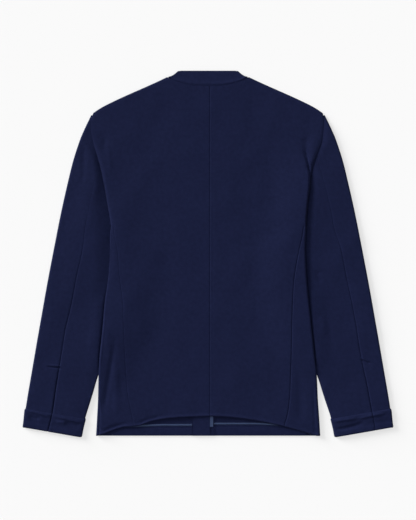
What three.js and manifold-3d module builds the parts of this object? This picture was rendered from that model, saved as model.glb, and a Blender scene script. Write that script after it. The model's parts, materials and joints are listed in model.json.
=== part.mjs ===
import * as THREE from "three";
import { mergeVertices } from "three/addons/utils/BufferGeometryUtils.js";
import Module from "manifold-3d";

// A shirt jacket of plain knit cloth, laid flat and face down: the back is up, the fronts lie on the table.
// X points to the wearer's right, Y from hem to collar, Z up, and the origin is under the middle.
// All sizes are millimetres. Every cut piece is a wall of cloth with a small gap to its neighbour.

// Cloth and seams
const WALL = 1.3;
const COLLAR_WALL = 1.8;
const TRIM_WALL = 1.1;
const SEAM_GAP = 0.3;
const HALF_GAP = SEAM_GAP / 2;
const FOLD_RUN = 4;
const FOLD_STEPS = 4;

// Heights of the laid layers
const BACK_MIDDLE = 6.9;
const BACK_SIDE = 6.2;
const SLEEVE_CROWN = 6.4;
const SLEEVE_TUCKED = 5.2;
const ARMHOLE_VALLEY = 3.5;
const BODY_LIFT = 5.8;
const BACK_RIM = 4.2;
const FRONT_RIM = 2;
const SHOULDER_BLADE = 0.6;

// How far in from an edge the cloth rolls down to its seam
const ARMHOLE_ROLL = 9;
const SHOULDER_ROLL = 10;
const NO_ROLL = 1;

// Lift of the body's side over the sleeve: the sleeve fold's reach, its first touch, and the ramp inwards
const LIFT_REACH = 8.4;
const FIRST_TOUCH = 0.9;
const LIFT_RAMP = 45;
const LIFT_MARGIN = 5;

// Lengths on the body, along Y
const NECK_POINT = 353;
const UNDERARM = 56;
const FRONT_HEM = -363.2;
const BACK_HEM = -324.2;
const HEM_ARCH_REACH = 212;
const NECK_HALF = 81;
const BACK_NECK_DEPTH = 17.6;
const FRONT_NECK_DEPTH = 88;
const CENTRE_BACK = 4;
const ARCH_CURVE = 1.8;
const ARCH_FADE = 110;
const BACK_NECK_CURVE = 2.6;
const FRONT_NECK_CURVE = 2.4;
const NECK_FADE = 2.1;
const SIDE_FRONT_INSET = 3;
const FRONT_ARMHOLE_SCOOP = 12;

// Front lap: the left front's edge, the right front's edge, and the buttons between them
const LEFT_EDGE = 8;
const RIGHT_EDGE = -31;
const LAP_RAMP = 9;
const LAP_THICK = 3.2;
const LAP_FROM = -262;
const LAP_FADE = 34;
const LAP_TOP = 236;
const LAP_CLIMB = LEFT_EDGE + 0.8;
const LAP_INSIDE = 29;
const LAP_INNER_RAMP = 7;
const BUTTON_X = -11.5;
const BUTTON_COUNT = 5;
const BUTTON_FIRST = 204;
const BUTTON_PITCH = -107;
const BUTTON_RADIUS = 9;
const BUTTON_THICK = 1.9;
const BUTTON_DISH = 0.5;

// Trim of the hem's inside
const HEM_TURN_LEFT = 19.4;
const HEM_TURN_RIGHT = 22;
const BINDING = 4.6;
const FACING_TOP = -302;
const FACING_RIGHT = 3.7;
const TRIM_SIDE = 196;
const TRIM_INSET = 0.6;
const HEM_TURN_DROP = 2.2;
const HEM_DROP_FROM = 95;
const HEM_DROP_RUN = 55;
const FACING_BINDING = 6.4;
const FACING_BINDING_FOOT = 15;
const BINDING_THICKER = 0.4;

// Collar
const COLLAR_HEIGHT = 28;
const COLLAR_TOP = 366;
const COLLAR_CORNER = 61.5;
const COLLAR_FOLD_OUT = 3.3;
const COLLAR_FOLD_INSET = 2.5;
const COLLAR_SEAM_LIFT = 3.8;
const COLLAR_SLOPE_FROM = 0.9;
const COLLAR_CORNER_DROP = 1.6;
const COLLAR_EDGE_HEIGHT = 5.4;
const COLLAR_RIDGE = 0.9;
const COLLAR_FOLD_STEPS = 4;
const COLLAR_BACK_STEPS = 12;

// Cuffs
const CUFF_TOP = -308.2;
const CUFF_END = -346;
const CUFF_OUTSET = 1.8;
const CUFF_RISE = 0.8;
const CUFF_TILT = 0.177;

// Colours of the dry cloth, the binding and the buttons
const NAVY = 0x1b2040;
const STEEL_BLUE = 0x42608f;
const BUTTON_NAVY = 0x14172b;

// Shoulder outline, from the neck point to the shoulder tip.
const SHOULDER = [
  { y: 353, x: 82.4 },
  { y: 348, x: 92.7 },
  { y: 336, x: 118.9 },
  { y: 318, x: 159.7 },
  { y: 306, x: 185.9 },
  { y: 294, x: 209.9 },
  { y: 287, x: 221.2 },
  { y: 281, x: 229.5 },
];

// Armhole seam on the back, from the shoulder tip to the underarm.
const ARMHOLE = [
  { y: 281, left: 229.5, right: 229.5 },
  { y: 268, left: 232.6, right: 231 },
  { y: 246, left: 233.2, right: 229.8 },
  { y: 221, left: 228.6, right: 223.4 },
  { y: 200, left: 222.4, right: 215.6 },
  { y: 183, left: 218, right: 210.8 },
  { y: 160, left: 212.4, right: 206.5 },
  { y: 134, left: 207.2, right: 204.3 },
  { y: 108, left: 202.4, right: 200.5 },
  { y: 71, left: 196, right: 197 },
  { y: 56, left: 194, right: 196.5 },
];

// Body below the underarm: the side fold, and the side-back seam.
const BODY = [
  { y: 56, foldLeft: 194, foldRight: 196.5, seamLeft: 188.6, seamRight: 191 },
  { y: 32, foldLeft: 195.6, foldRight: 194.9, seamLeft: 186, seamRight: 187.4 },
  { y: 8, foldLeft: 195.4, foldRight: 194.4, seamLeft: 180.8, seamRight: 181.7 },
  { y: -44, foldLeft: 198.6, foldRight: 196.6, seamLeft: 176.6, seamRight: 172.4 },
  { y: -96, foldLeft: 206, foldRight: 201.4, seamLeft: 169.9, seamRight: 168.8 },
  { y: -150, foldLeft: 210.6, foldRight: 207, seamLeft: 168.2, seamRight: 167.4 },
  { y: -204, foldLeft: 216.2, foldRight: 212.8, seamLeft: 165.6, seamRight: 166.4 },
  { y: -245, foldLeft: 218.6, foldRight: 217.4, seamLeft: 163.2, seamRight: 165.2 },
  { y: -290, foldLeft: 219.8, foldRight: 219.6, seamLeft: 159.4, seamRight: 163.2 },
  { y: -330, foldLeft: 221.8, foldRight: 222.4, seamLeft: 152.8, seamRight: 159.6 },
  { y: -366, foldLeft: 223.8, foldRight: 224.4, seamLeft: 147.5, seamRight: 151.5 },
];

// Outer fold of the sleeve and cuff.
const SLEEVE_OUTER = [
  { y: 277, x: 233.6 },
  { y: 270, x: 237 },
  { y: 248, x: 247.4 },
  { y: 228, x: 255.8 },
  { y: 188, x: 268.9 },
  { y: 148, x: 278.9 },
  { y: 88, x: 292.5 },
  { y: 28, x: 304.5 },
  { y: -52, x: 319.9 },
  { y: -132, x: 334.2 },
  { y: -212, x: 348.2 },
  { y: -308, x: 364.4 },
  { y: -346, x: 368.9 },
];

// How far the sleeve's inner fold lies under the body's side fold. Below the last contact it is a gap.
const TUCK = [
  { y: 56, under: 0 },
  { y: 48, under: 2.6 },
  { y: 40, under: 7 },
  { y: 28, under: 15 },
  { y: 10, under: 25 },
  { y: -20, under: 30 },
  { y: -100, under: 30 },
  { y: -145, under: 25.5 },
  { y: -180, under: 16.5 },
  { y: -205, under: 9.5 },
  { y: -225, under: 4 },
  { y: -240, under: 0.6 },
  { y: -252, under: -3 },
  { y: -272, under: -8.3 },
  { y: -292, under: -13.7 },
  { y: -330, under: -23.4 },
  { y: -366, under: -29.4 },
];

// Elbow seam, which becomes the vent line and runs on through the cuff.
const ELBOW = [
  { y: 200, left: 213, right: 215.6 },
  { y: 178, left: 218.2, right: 221.8 },
  { y: 160, left: 222.8, right: 227.2 },
  { y: 134, left: 228.8, right: 234.6 },
  { y: 84, left: 238.8, right: 246.4 },
  { y: 51, left: 245, right: 253.4 },
  { y: 8, left: 250.4, right: 266 },
  { y: -45, left: 262, right: 276.3 },
  { y: -100, left: 272.5, right: 288 },
  { y: -150, left: 284.5, right: 297 },
  { y: -190, left: 290.8, right: 303 },
  { y: -230, left: 297.6, right: 311 },
  { y: -272, left: 304.4, right: 319.5 },
  { y: -319, left: 311.2, right: 328.2 },
  { y: -366, left: 323, right: 337.2 },
];

// How the back's hem rises or falls from its plain arch: a wavy stretch on the wearer's left.
const HEM_WAVE = [
  { x: -25, rise: 0 },
  { x: -72, rise: 2.4 },
  { x: -112, rise: 3.4 },
  { x: -136, rise: 0.2 },
  { x: -152, rise: 1.6 },
  { x: -172, rise: 5.4 },
  { x: -204, rise: 4 },
  { x: -222, rise: 0 },
];

// Large soft forms of the upper side: bulges between creases, and the hollows along them.
// Each lies along a line from (x1, y1) to (x2, y2), has a half width, and stands up by rise.
const SOFT_FORMS = [
  { x1: 214, y1: 226, x2: 206, y2: 186, half: 9, rise: 1.6 },
  { x1: 194, y1: 160, x2: 186, y2: 78, half: 6, rise: 2.2 },
  { x1: -197, y1: 150, x2: -184, y2: 78, half: 6, rise: 1.2 },
  { x1: -252, y1: 190, x2: -272, y2: 20, half: 16, rise: 1.4 },
  { x1: 246, y1: 190, x2: 262, y2: 20, half: 16, rise: 1 },
  { x1: 195.5, y1: 224, x2: 203, y2: 172, half: 6, rise: -1.2 },
  { x1: -208, y1: 232, x2: -205, y2: 214, half: 9, rise: -0.9 },
  { x1: -120, y1: 60, x2: -60, y2: -120, half: 60, rise: 0.7 },
  { x1: 110, y1: -20, x2: 70, y2: -220, half: 60, rise: 0.7 },
  { x1: -215, y1: -98, x2: -229, y2: -178, half: 8, rise: 0.5 },
  { x1: 300, y1: 20, x2: 330, y2: -150, half: 22, rise: 0.6 },
  { x1: -285, y1: 40, x2: -318, y2: -160, half: 22, rise: 0.6 },
];

const clamp01 = (t) => Math.min(Math.max(t, 0), 1);
const mix = (a, b, t) => a + (b - a) * t;

function eased(t) {
  const c = clamp01(t);
  return c * c * (3 - 2 * c);
}

// A smooth curve through one column of a table whose rows fall in another column.
function through(table, column, along = "y") {
  const slope = (i) => {
    const a = table[Math.max(i - 1, 0)];
    const b = table[Math.min(i + 1, table.length - 1)];
    return (b[column] - a[column]) / (b[along] - a[along]);
  };
  return (place) => {
    const top = table[0];
    const end = table[table.length - 1];
    if (place >= top[along]) return top[column];
    if (place <= end[along]) return end[column];
    const i = table.findIndex((row) => row[along] < place) - 1;
    const a = table[i];
    const b = table[i + 1];
    const run = b[along] - a[along];
    const t = (place - a[along]) / run;
    const t2 = t * t;
    const t3 = t2 * t;
    return (
      (2 * t3 - 3 * t2 + 1) * a[column] +
      (t3 - 2 * t2 + t) * run * slope(i) +
      (3 * t2 - 2 * t3) * b[column] +
      (t3 - t2) * run * slope(i + 1)
    );
  };
}

const shoulderX = through(SHOULDER, "x");
const outerX = through(SLEEVE_OUTER, "x");
const tuckAt = through(TUCK, "under");
const hemWave = through(HEM_WAVE, "rise", "x");

const SIDES = {
  left: {
    sign: -1,
    armhole: through(ARMHOLE, "left"),
    fold: through(BODY, "foldLeft"),
    seam: through(BODY, "seamLeft"),
    elbow: through(ELBOW, "left"),
    elbowTop: 181,
  },
  right: {
    sign: 1,
    armhole: through(ARMHOLE, "right"),
    fold: through(BODY, "foldRight"),
    seam: through(BODY, "seamRight"),
    elbow: through(ELBOW, "right"),
    elbowTop: 197,
  },
};

// Rise of the large soft forms at a place on the upper side.
function softForm(x, y) {
  let rise = 0;
  for (const form of SOFT_FORMS) {
    const dx = form.x2 - form.x1;
    const dy = form.y2 - form.y1;
    const t = clamp01(((x - form.x1) * dx + (y - form.y1) * dy) / (dx * dx + dy * dy));
    const away = Math.hypot(x - form.x1 - dx * t, y - form.y1 - dy * t);
    rise += form.rise * eased(1 - away / (2 * form.half));
  }
  return rise;
}

// Height that the body's side gains where it lies on the tucked sleeve.
function bodyLift(side, reach, y) {
  const under = tuckAt(y);
  const near = 1 - clamp01((under + FIRST_TOUCH) / LIFT_REACH);
  const height = y > UNDERARM ? 0 : BODY_LIFT * Math.sqrt(1 - near * near);
  const start = side.fold(y) - Math.max(under, 0) - LIFT_RAMP - LIFT_MARGIN;
  return height * eased((reach - start) / LIFT_RAMP);
}

// Back layer's outer height, reach being the distance from the middle on one side.
function backHeight(side, reach, y) {
  const plain = mix(BACK_MIDDLE, BACK_SIDE, eased((reach - 40) / 60));
  const bladeZone = eased((y - 20) / 60) * eased((UNDERARM + 120 - y) / 60) * eased((reach - 120) / 50);
  return plain + SHOULDER_BLADE * bladeZone + bodyLift(side, reach, y);
}

// Height of the armhole seam, which sinks towards the underarm.
function armholeHeight(y) {
  const valley = mix(SLEEVE_TUCKED, ARMHOLE_VALLEY, eased((y - UNDERARM) / 24));
  return mix(valley, BACK_SIDE, eased((y - 130) / 90));
}

// The back's hem rises in an arch over the front's, and the rows above follow it.
function archedY(x, y) {
  const across = clamp01(Math.abs(x - CENTRE_BACK) / HEM_ARCH_REACH);
  const arch = (BACK_HEM - FRONT_HEM) * (1 - across ** ARCH_CURVE) + hemWave(x);
  return y + arch * eased((FRONT_HEM + ARCH_FADE - y) / ARCH_FADE);
}

// The neckline dips between the neck points, and the rows below follow it.
function neckedY(x, y, depth, power) {
  const across = clamp01(Math.abs(x) / NECK_HALF);
  const fade = NECK_FADE * depth;
  return y - depth * (1 - across ** power) * eased((y - (NECK_POINT - fade)) / fade);
}

// A wall of cloth: a grid of outer points, moved inwards for the inner face, and closed at its rims.
// Places in the grid that are null stay open.
function clothGeometry(grid, wallAt) {
  const rows = grid.length;
  const cols = grid[0].length;
  const cells = [];
  for (let r = 0; r + 1 < rows; r += 1)
    for (let c = 0; c + 1 < cols; c += 1)
      if (grid[r][c] && grid[r + 1][c] && grid[r][c + 1] && grid[r + 1][c + 1]) cells.push([r, c]);
  const key = (r, c) => r * cols + c;
  const normals = new Map();
  const normalAt = (r, c) => {
    const k = key(r, c);
    if (!normals.has(k)) normals.set(k, new THREE.Vector3());
    return normals.get(k);
  };
  const side = new THREE.Vector3();
  const other = new THREE.Vector3();
  for (const [r, c] of cells) {
    side.subVectors(grid[r][c + 1], grid[r + 1][c]);
    other.subVectors(grid[r + 1][c + 1], grid[r][c]);
    const face = side.clone().cross(other).normalize();
    for (const [i, j] of [[r, c], [r, c + 1], [r + 1, c], [r + 1, c + 1]]) normalAt(i, j).add(face);
  }
  const positions = [];
  const index = new Map();
  for (const [k, normal] of normals) {
    const point = grid[Math.floor(k / cols)][k % cols];
    const inner = point.clone().addScaledVector(normal.normalize(), -wallAt(point));
    index.set(k, positions.length / 3);
    positions.push(point.x, point.y, point.z, inner.x, inner.y, inner.z);
  }
  const faces = [];
  const edges = new Map();
  const addEdge = (a, b) => {
    if (edges.has(b + "," + a)) edges.delete(b + "," + a);
    else edges.set(a + "," + b, [a, b]);
  };
  for (const [r, c] of cells) {
    const corners = [key(r, c), key(r, c + 1), key(r + 1, c + 1), key(r + 1, c)];
    const [a, b, d, e] = corners.map((k) => index.get(k));
    faces.push(a, b, d, a, d, e);
    faces.push(a + 1, d + 1, b + 1, a + 1, e + 1, d + 1);
    addEdge(a, b);
    addEdge(b, d);
    addEdge(d, e);
    addEdge(e, a);
  }
  for (const [a, b] of edges.values()) faces.push(a, b + 1, b, a, a + 1, b + 1);
  const geometry = new THREE.BufferGeometry();
  geometry.setAttribute("position", new THREE.Float32BufferAttribute(positions, 3));
  geometry.setIndex(faces);
  return geometry;
}

function turnInsideOut(geometry) {
  const index = geometry.getIndex();
  for (let i = 0; i < index.count; i += 3) {
    const first = index.getX(i + 1);
    index.setX(i + 1, index.getX(i + 2));
    index.setX(i + 2, first);
  }
}

// A grid of points for one side, mirrored to the left where the side asks for it.
function sidedCloth(side, rows, wall = WALL, up = 1) {
  const wallAt = typeof wall === "function" ? wall : () => wall;
  const grid = rows.map((row) => row.map((p) => p && new THREE.Vector3(p[0] * side.sign, p[1], p[2])));
  if (side.sign * up < 0) for (const row of grid) row.reverse();
  return clothGeometry(grid, wallAt);
}

// Distances from a panel's outer edge where its columns stand, close together near the edge.
const BACK_EDGE_COLUMNS = [HALF_GAP, 1.4, 4, 10];
const FRONT_EDGE_COLUMNS = [HALF_GAP, 2.4, 8];

// Columns from an inner line to an outer edge, evenly spread but for the ones near the edge.
function columnsBetween(inner, outer, even, nearEdge) {
  const rim = outer - nearEdge[nearEdge.length - 1];
  const list = [];
  for (let i = 0; i < even; i += 1) list.push(mix(inner, rim, i / even));
  for (let i = nearEdge.length - 1; i >= 0; i -= 1) list.push(outer - nearEdge[i]);
  return list;
}

const BODY_STATIONS = [
  FRONT_HEM, -346, -322, -292, -262, -236, -212, -180, -140, -95, -50, -10, 14, 30, 42, 50,
  UNDERARM - SEAM_GAP,
];
const ARMHOLE_STATIONS = [64, 84, 108, 134, 160, 176, 193, 214, 238, 262];
const SHOULDER_STATIONS = [281, 288, 298, 314, 330, 344, NECK_POINT];

// Part of the edge's height that is left at a distance from a rounded edge.
const rolled = (away, run) => Math.sqrt(1 - (1 - clamp01(away / run)) ** 2);

// Back panel: centre-back seam to the side-back seam, the armhole and the shoulder.
function backPanel(side) {
  const middle = CENTRE_BACK * side.sign + HALF_GAP;
  const rows = [];
  const addRow = (y, outer, edgeHeight, run) => {
    rows.push(
      columnsBetween(middle, outer, 6, BACK_EDGE_COLUMNS).map((reach) => {
        const x = reach * side.sign;
        const place = neckedY(x, archedY(x, y), BACK_NECK_DEPTH, BACK_NECK_CURVE);
        const full = backHeight(side, reach, y) + softForm(x, y);
        const share = rolled(outer - reach - HALF_GAP, run);
        const z = edgeHeight === null ? full : mix(edgeHeight, full, share);
        return [reach, place, z];
      }),
    );
  };
  for (const y of BODY_STATIONS) addRow(y, side.seam(y), null, 0);
  for (const y of ARMHOLE_STATIONS) addRow(y, side.armhole(y), armholeHeight(y), ARMHOLE_ROLL);
  for (const y of SHOULDER_STATIONS) addRow(y, shoulderX(y), BACK_RIM, SHOULDER_ROLL);
  const top = rows[rows.length - 1];
  for (const point of top) point[1] -= HALF_GAP;
  return sidedCloth(side, rows);
}

// Thickness of the left front, which is thicker where its lap holds the buttons.
function lapZone(y) {
  return eased((y - LAP_FROM) / LAP_FADE) * eased((LAP_TOP + LAP_FADE - y) / LAP_FADE);
}

// Columns of a front, close together where it climbs over the other front's edge.
function frontColumns(side, outer) {
  const lap = side.sign > 0
    ? [RIGHT_EDGE, -10, LAP_CLIMB, LAP_CLIMB + 3, LAP_CLIMB + 6]
    : [-LEFT_EDGE, 22, LAP_INSIDE];
  const start = side.sign > 0 ? LAP_CLIMB + LAP_RAMP : 40;
  return [...lap, ...columnsBetween(start, outer, 4, FRONT_EDGE_COLUMNS)];
}

// Front panel: side-front seam, armhole and shoulder to its own edge in the lap.
function frontPanel(side) {
  const right = side.sign > 0;
  const rows = [];
  const addRow = (y, outer, edgeHeight, run) => {
    rows.push(
      frontColumns(side, outer).map((reach) => {
        const x = reach * side.sign;
        const place = neckedY(x, y, FRONT_NECK_DEPTH, FRONT_NECK_CURVE);
        const under = Math.max(WALL + (LAP_THICK - WALL) * lapZone(place), place > 0 ? COLLAR_WALL : WALL);
        const lap = under + SEAM_GAP;
        const over = right ? lap * eased((LAP_CLIMB + LAP_RAMP - reach) / LAP_RAMP) : 0;
        const edge = edgeHeight * (1 - rolled(outer - reach - HALF_GAP, run));
        return [reach, place, over + bodyLift(side, reach, y) + edge];
      }),
    );
  };
  for (const y of BODY_STATIONS) addRow(y, side.seam(y) - SIDE_FRONT_INSET, 0, NO_ROLL);
  for (const y of ARMHOLE_STATIONS) addRow(y, frontArmhole(side, y), 0, NO_ROLL);
  for (const y of SHOULDER_STATIONS) addRow(y, shoulderX(y), FRONT_RIM, SHOULDER_ROLL);
  const top = rows[rows.length - 1];
  for (const point of top) point[1] -= HALF_GAP;
  const wall = right
    ? WALL
    : (point) => {
        const inLap = eased((point.x + LAP_INSIDE) / LAP_INNER_RAMP);
        return WALL + (LAP_THICK - WALL) * inLap * lapZone(point.y);
      };
  return sidedCloth(side, rows, wall, -1);
}

// Front armhole seam, scooped further in than the back's.
function frontArmhole(side, y) {
  const tip = SHOULDER[SHOULDER.length - 1].y;
  const along = clamp01((tip - y) / (tip - UNDERARM));
  return side.armhole(y) - FRONT_ARMHOLE_SCOOP * Math.sin(Math.PI * along);
}

// Side panel: side-back seam, round the side fold, to the side-front seam underneath.
function sidePanel(side) {
  const rows = BODY_STATIONS.map((y) => {
    const seam = side.seam(y) + HALF_GAP;
    const start = side.fold(y) - FOLD_RUN;
    const row = [];
    for (let i = 0; i < 4; i += 1) {
      const reach = mix(seam, start, i / 4);
      const x = reach * side.sign;
      row.push([reach, archedY(x, y), backHeight(side, reach, y) + softForm(x, y)]);
    }
    const high = backHeight(side, start, y) + softForm(start * side.sign, y);
    const low = bodyLift(side, start, y);
    for (let i = 0; i <= FOLD_STEPS; i += 1) {
      const turn = (Math.PI * i) / FOLD_STEPS;
      const reach = start + FOLD_RUN * Math.sin(turn);
      const topWard = (1 + Math.cos(turn)) / 2;
      row.push([reach, mix(y, archedY(reach * side.sign, y), topWard), mix(low, high, topWard)]);
    }
    for (let i = 1; i <= 4; i += 1) {
      const reach = mix(start, side.seam(y) - SIDE_FRONT_INSET + HALF_GAP, i / 4);
      row.push([reach, y, bodyLift(side, reach, y)]);
    }
    return row;
  });
  return sidedCloth(side, rows);
}

// Sleeve rows run from the outer fold to the inner one, tilted more and more towards the cuff.
function sleeveRow(side, y) {
  const outer = { x: outerX(y), y };
  const capped = y > UNDERARM - 0.1;
  if (capped) {
    const seam = side.armhole(y) + HALF_GAP;
    return { y, capped, outer, inner: { x: seam, y }, under: frontArmhole(side, y) + HALF_GAP };
  }
  const tilt = CUFF_TILT * clamp01((40 - y) / (40 - CUFF_TOP)) ** 1.3;
  const inner = { x: 0, y };
  for (let i = 0; i < 6; i += 1) {
    inner.x = side.fold(inner.y) - tuckAt(inner.y) + SEAM_GAP;
    inner.y = y - tilt * (outer.x - inner.x);
  }
  return { y, capped, outer, inner, under: inner.x };
}

// Share of a sleeve row, from the outer fold, at which the elbow seam crosses it.
function elbowShare(side, row) {
  let share = 0.5;
  for (let i = 0; i < 8; i += 1) {
    const y = mix(row.outer.y, row.inner.y, share);
    share = clamp01((row.outer.x - side.elbow(y)) / (row.outer.x - row.inner.x));
  }
  return share;
}

// Outer height of the sleeve's upper layer.
function sleeveHeight(side, row, x, y) {
  const inner = row.capped ? armholeHeight(y) : SLEEVE_TUCKED;
  const clear = row.capped ? row.inner.x : Math.max(row.inner.x, side.fold(y));
  const crown = mix(inner, SLEEVE_CROWN, eased((x - clear) / 34));
  return crown + (x > clear ? softForm(x * side.sign, y) * eased((x - clear - 1) / 8) : 0);
}

function sleeveTop(side, row, share) {
  const x = mix(row.outer.x, row.inner.x, share);
  const y = mix(row.outer.y, row.inner.y, share);
  return [x, y, sleeveHeight(side, row, x, y)];
}

function sleeveUnder(row, share) {
  return [mix(row.outer.x, row.under, share), mix(row.outer.y, row.inner.y, share), 0];
}

// A half-round fold at the outer or inner end of a sleeve row, from the upper layer to the lower.
function sleeveFold(side, row, share, run, outward, steps) {
  const top = sleeveTop(side, row, share);
  const points = [];
  for (let i = 0; i <= steps; i += 1) {
    const turn = (Math.PI * i) / steps;
    const out = outward * run * Math.sin(turn);
    points.push([top[0] + out, top[1], (top[2] * (1 + Math.cos(turn))) / 2]);
  }
  return points;
}

const CAP_TOP = 277;
const TUBE_STATIONS = [
  UNDERARM, 48, 38, 26, 10, -15, -60, -110, -150, -180, -204, -226, -250, -280, CUFF_TOP,
];
const SLEEVE_STATIONS = [CAP_TOP, 271, ...ARMHOLE_STATIONS.toReversed(), ...TUBE_STATIONS];
const FRONT_SEAM_START = 134;

const foldRunOf = (row) => Math.min(FOLD_RUN, 0.55 * (row.outer.x - row.inner.x));

// Share at which the front seam crosses the underside of a row.
function frontSeamShare(row) {
  return 1 - 0.3 * eased((FRONT_SEAM_START - row.y) / 150);
}

// Top sleeve: elbow seam or armhole, round the outer fold, to the front seam or armhole underneath.
function topSleeve(side) {
  const rows = SLEEVE_STATIONS.map((y) => {
    const row = sleeveRow(side, y);
    const width = row.outer.x - row.inner.x;
    const run = foldRunOf(row);
    const from = y > side.elbowTop ? 1 : elbowShare(side, row) - HALF_GAP / width;
    const foldShare = run / width;
    const points = [];
    for (let i = 0; i < 4; i += 1) points.push(sleeveTop(side, row, mix(from, foldShare, i / 4)));
    points.push(...sleeveFold(side, row, foldShare, run, 1, FOLD_STEPS));
    const lowStart = run / (row.outer.x - row.under);
    const to = frontSeamShare(row) - HALF_GAP / width;
    for (let i = 1; i <= 3; i += 1) points.push(sleeveUnder(row, mix(lowStart, to, i / 3)));
    return points;
  });
  return sidedCloth(side, rows, WALL, -1);
}

// Under sleeve: elbow seam, round the inner fold, to the front seam underneath.
// Above the underarm the fold is open, because the armhole is there.
function underSleeve(side) {
  const stations = SLEEVE_STATIONS.filter((y) => y < side.elbowTop);
  const rows = stations.map((y) => {
    const row = sleeveRow(side, y);
    const width = row.outer.x - row.inner.x;
    const from = elbowShare(side, row) + HALF_GAP / width;
    const closed = !row.capped || y === UNDERARM;
    const foldShare = closed ? 1 - FOLD_RUN / width : 1;
    const points = [];
    for (let i = 0; i < 4; i += 1) points.push(sleeveTop(side, row, mix(from, foldShare, i / 4)));
    const fold = sleeveFold(side, row, foldShare, FOLD_RUN, -1, FOLD_STEPS);
    if (!closed) {
      fold[0] = sleeveTop(side, row, 1);
      for (let i = 1; i < FOLD_STEPS; i += 1) fold[i] = null;
      fold[FOLD_STEPS] = y < FRONT_SEAM_START ? sleeveUnder(row, 1) : null;
    }
    points.push(...fold);
    const to = frontSeamShare(row) + HALF_GAP / width;
    for (let i = 1; i <= 3; i += 1)
      points.push(fold[FOLD_STEPS] ? sleeveUnder(row, mix(foldShare, to, i / 3)) : null);
    return points;
  });
  return sidedCloth(side, rows);
}

// Cuff: a band round the sleeve's end, a little prouder than it, open at the vent line.
function cuff(side) {
  const steps = [0, 0.06, 0.2, 0.6, 0.94, 1];
  const proud = [0.35, 1, 1, 0.8, 0.9, 0.5];
  const rows = steps.map((step, k) => {
    const y = mix(CUFF_TOP - SEAM_GAP, CUFF_END, step);
    const row = sleeveRow(side, y);
    const outset = CUFF_OUTSET * proud[k];
    const wide = {
      ...row,
      outer: { x: row.outer.x + outset, y: row.outer.y },
      inner: { x: row.inner.x - outset, y: row.inner.y },
      under: row.inner.x - outset,
    };
    const width = wide.outer.x - wide.inner.x;
    const vent = elbowShare(side, wide);
    const gap = HALF_GAP / width;
    const run = FOLD_RUN / width;
    const raise = (point) => [point[0], point[1], point[2] * (1 + (CUFF_RISE * proud[k]) / SLEEVE_CROWN)];
    const points = [];
    for (let i = 0; i < 3; i += 1) points.push(sleeveTop(side, wide, mix(vent - gap, run, i / 3)));
    points.push(...sleeveFold(side, wide, run, FOLD_RUN, 1, FOLD_STEPS));
    for (let i = 1; i < 5; i += 1) points.push(sleeveUnder(wide, mix(run, 1 - run, i / 5)));
    points.push(...sleeveFold(side, wide, 1 - run, FOLD_RUN, -1, FOLD_STEPS).reverse());
    for (let i = 1; i <= 4; i += 1) points.push(sleeveTop(side, wide, mix(1 - run, vent + gap, i / 4)));
    return points.map(raise);
  });
  return sidedCloth(side, rows, WALL, -1);
}

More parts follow.
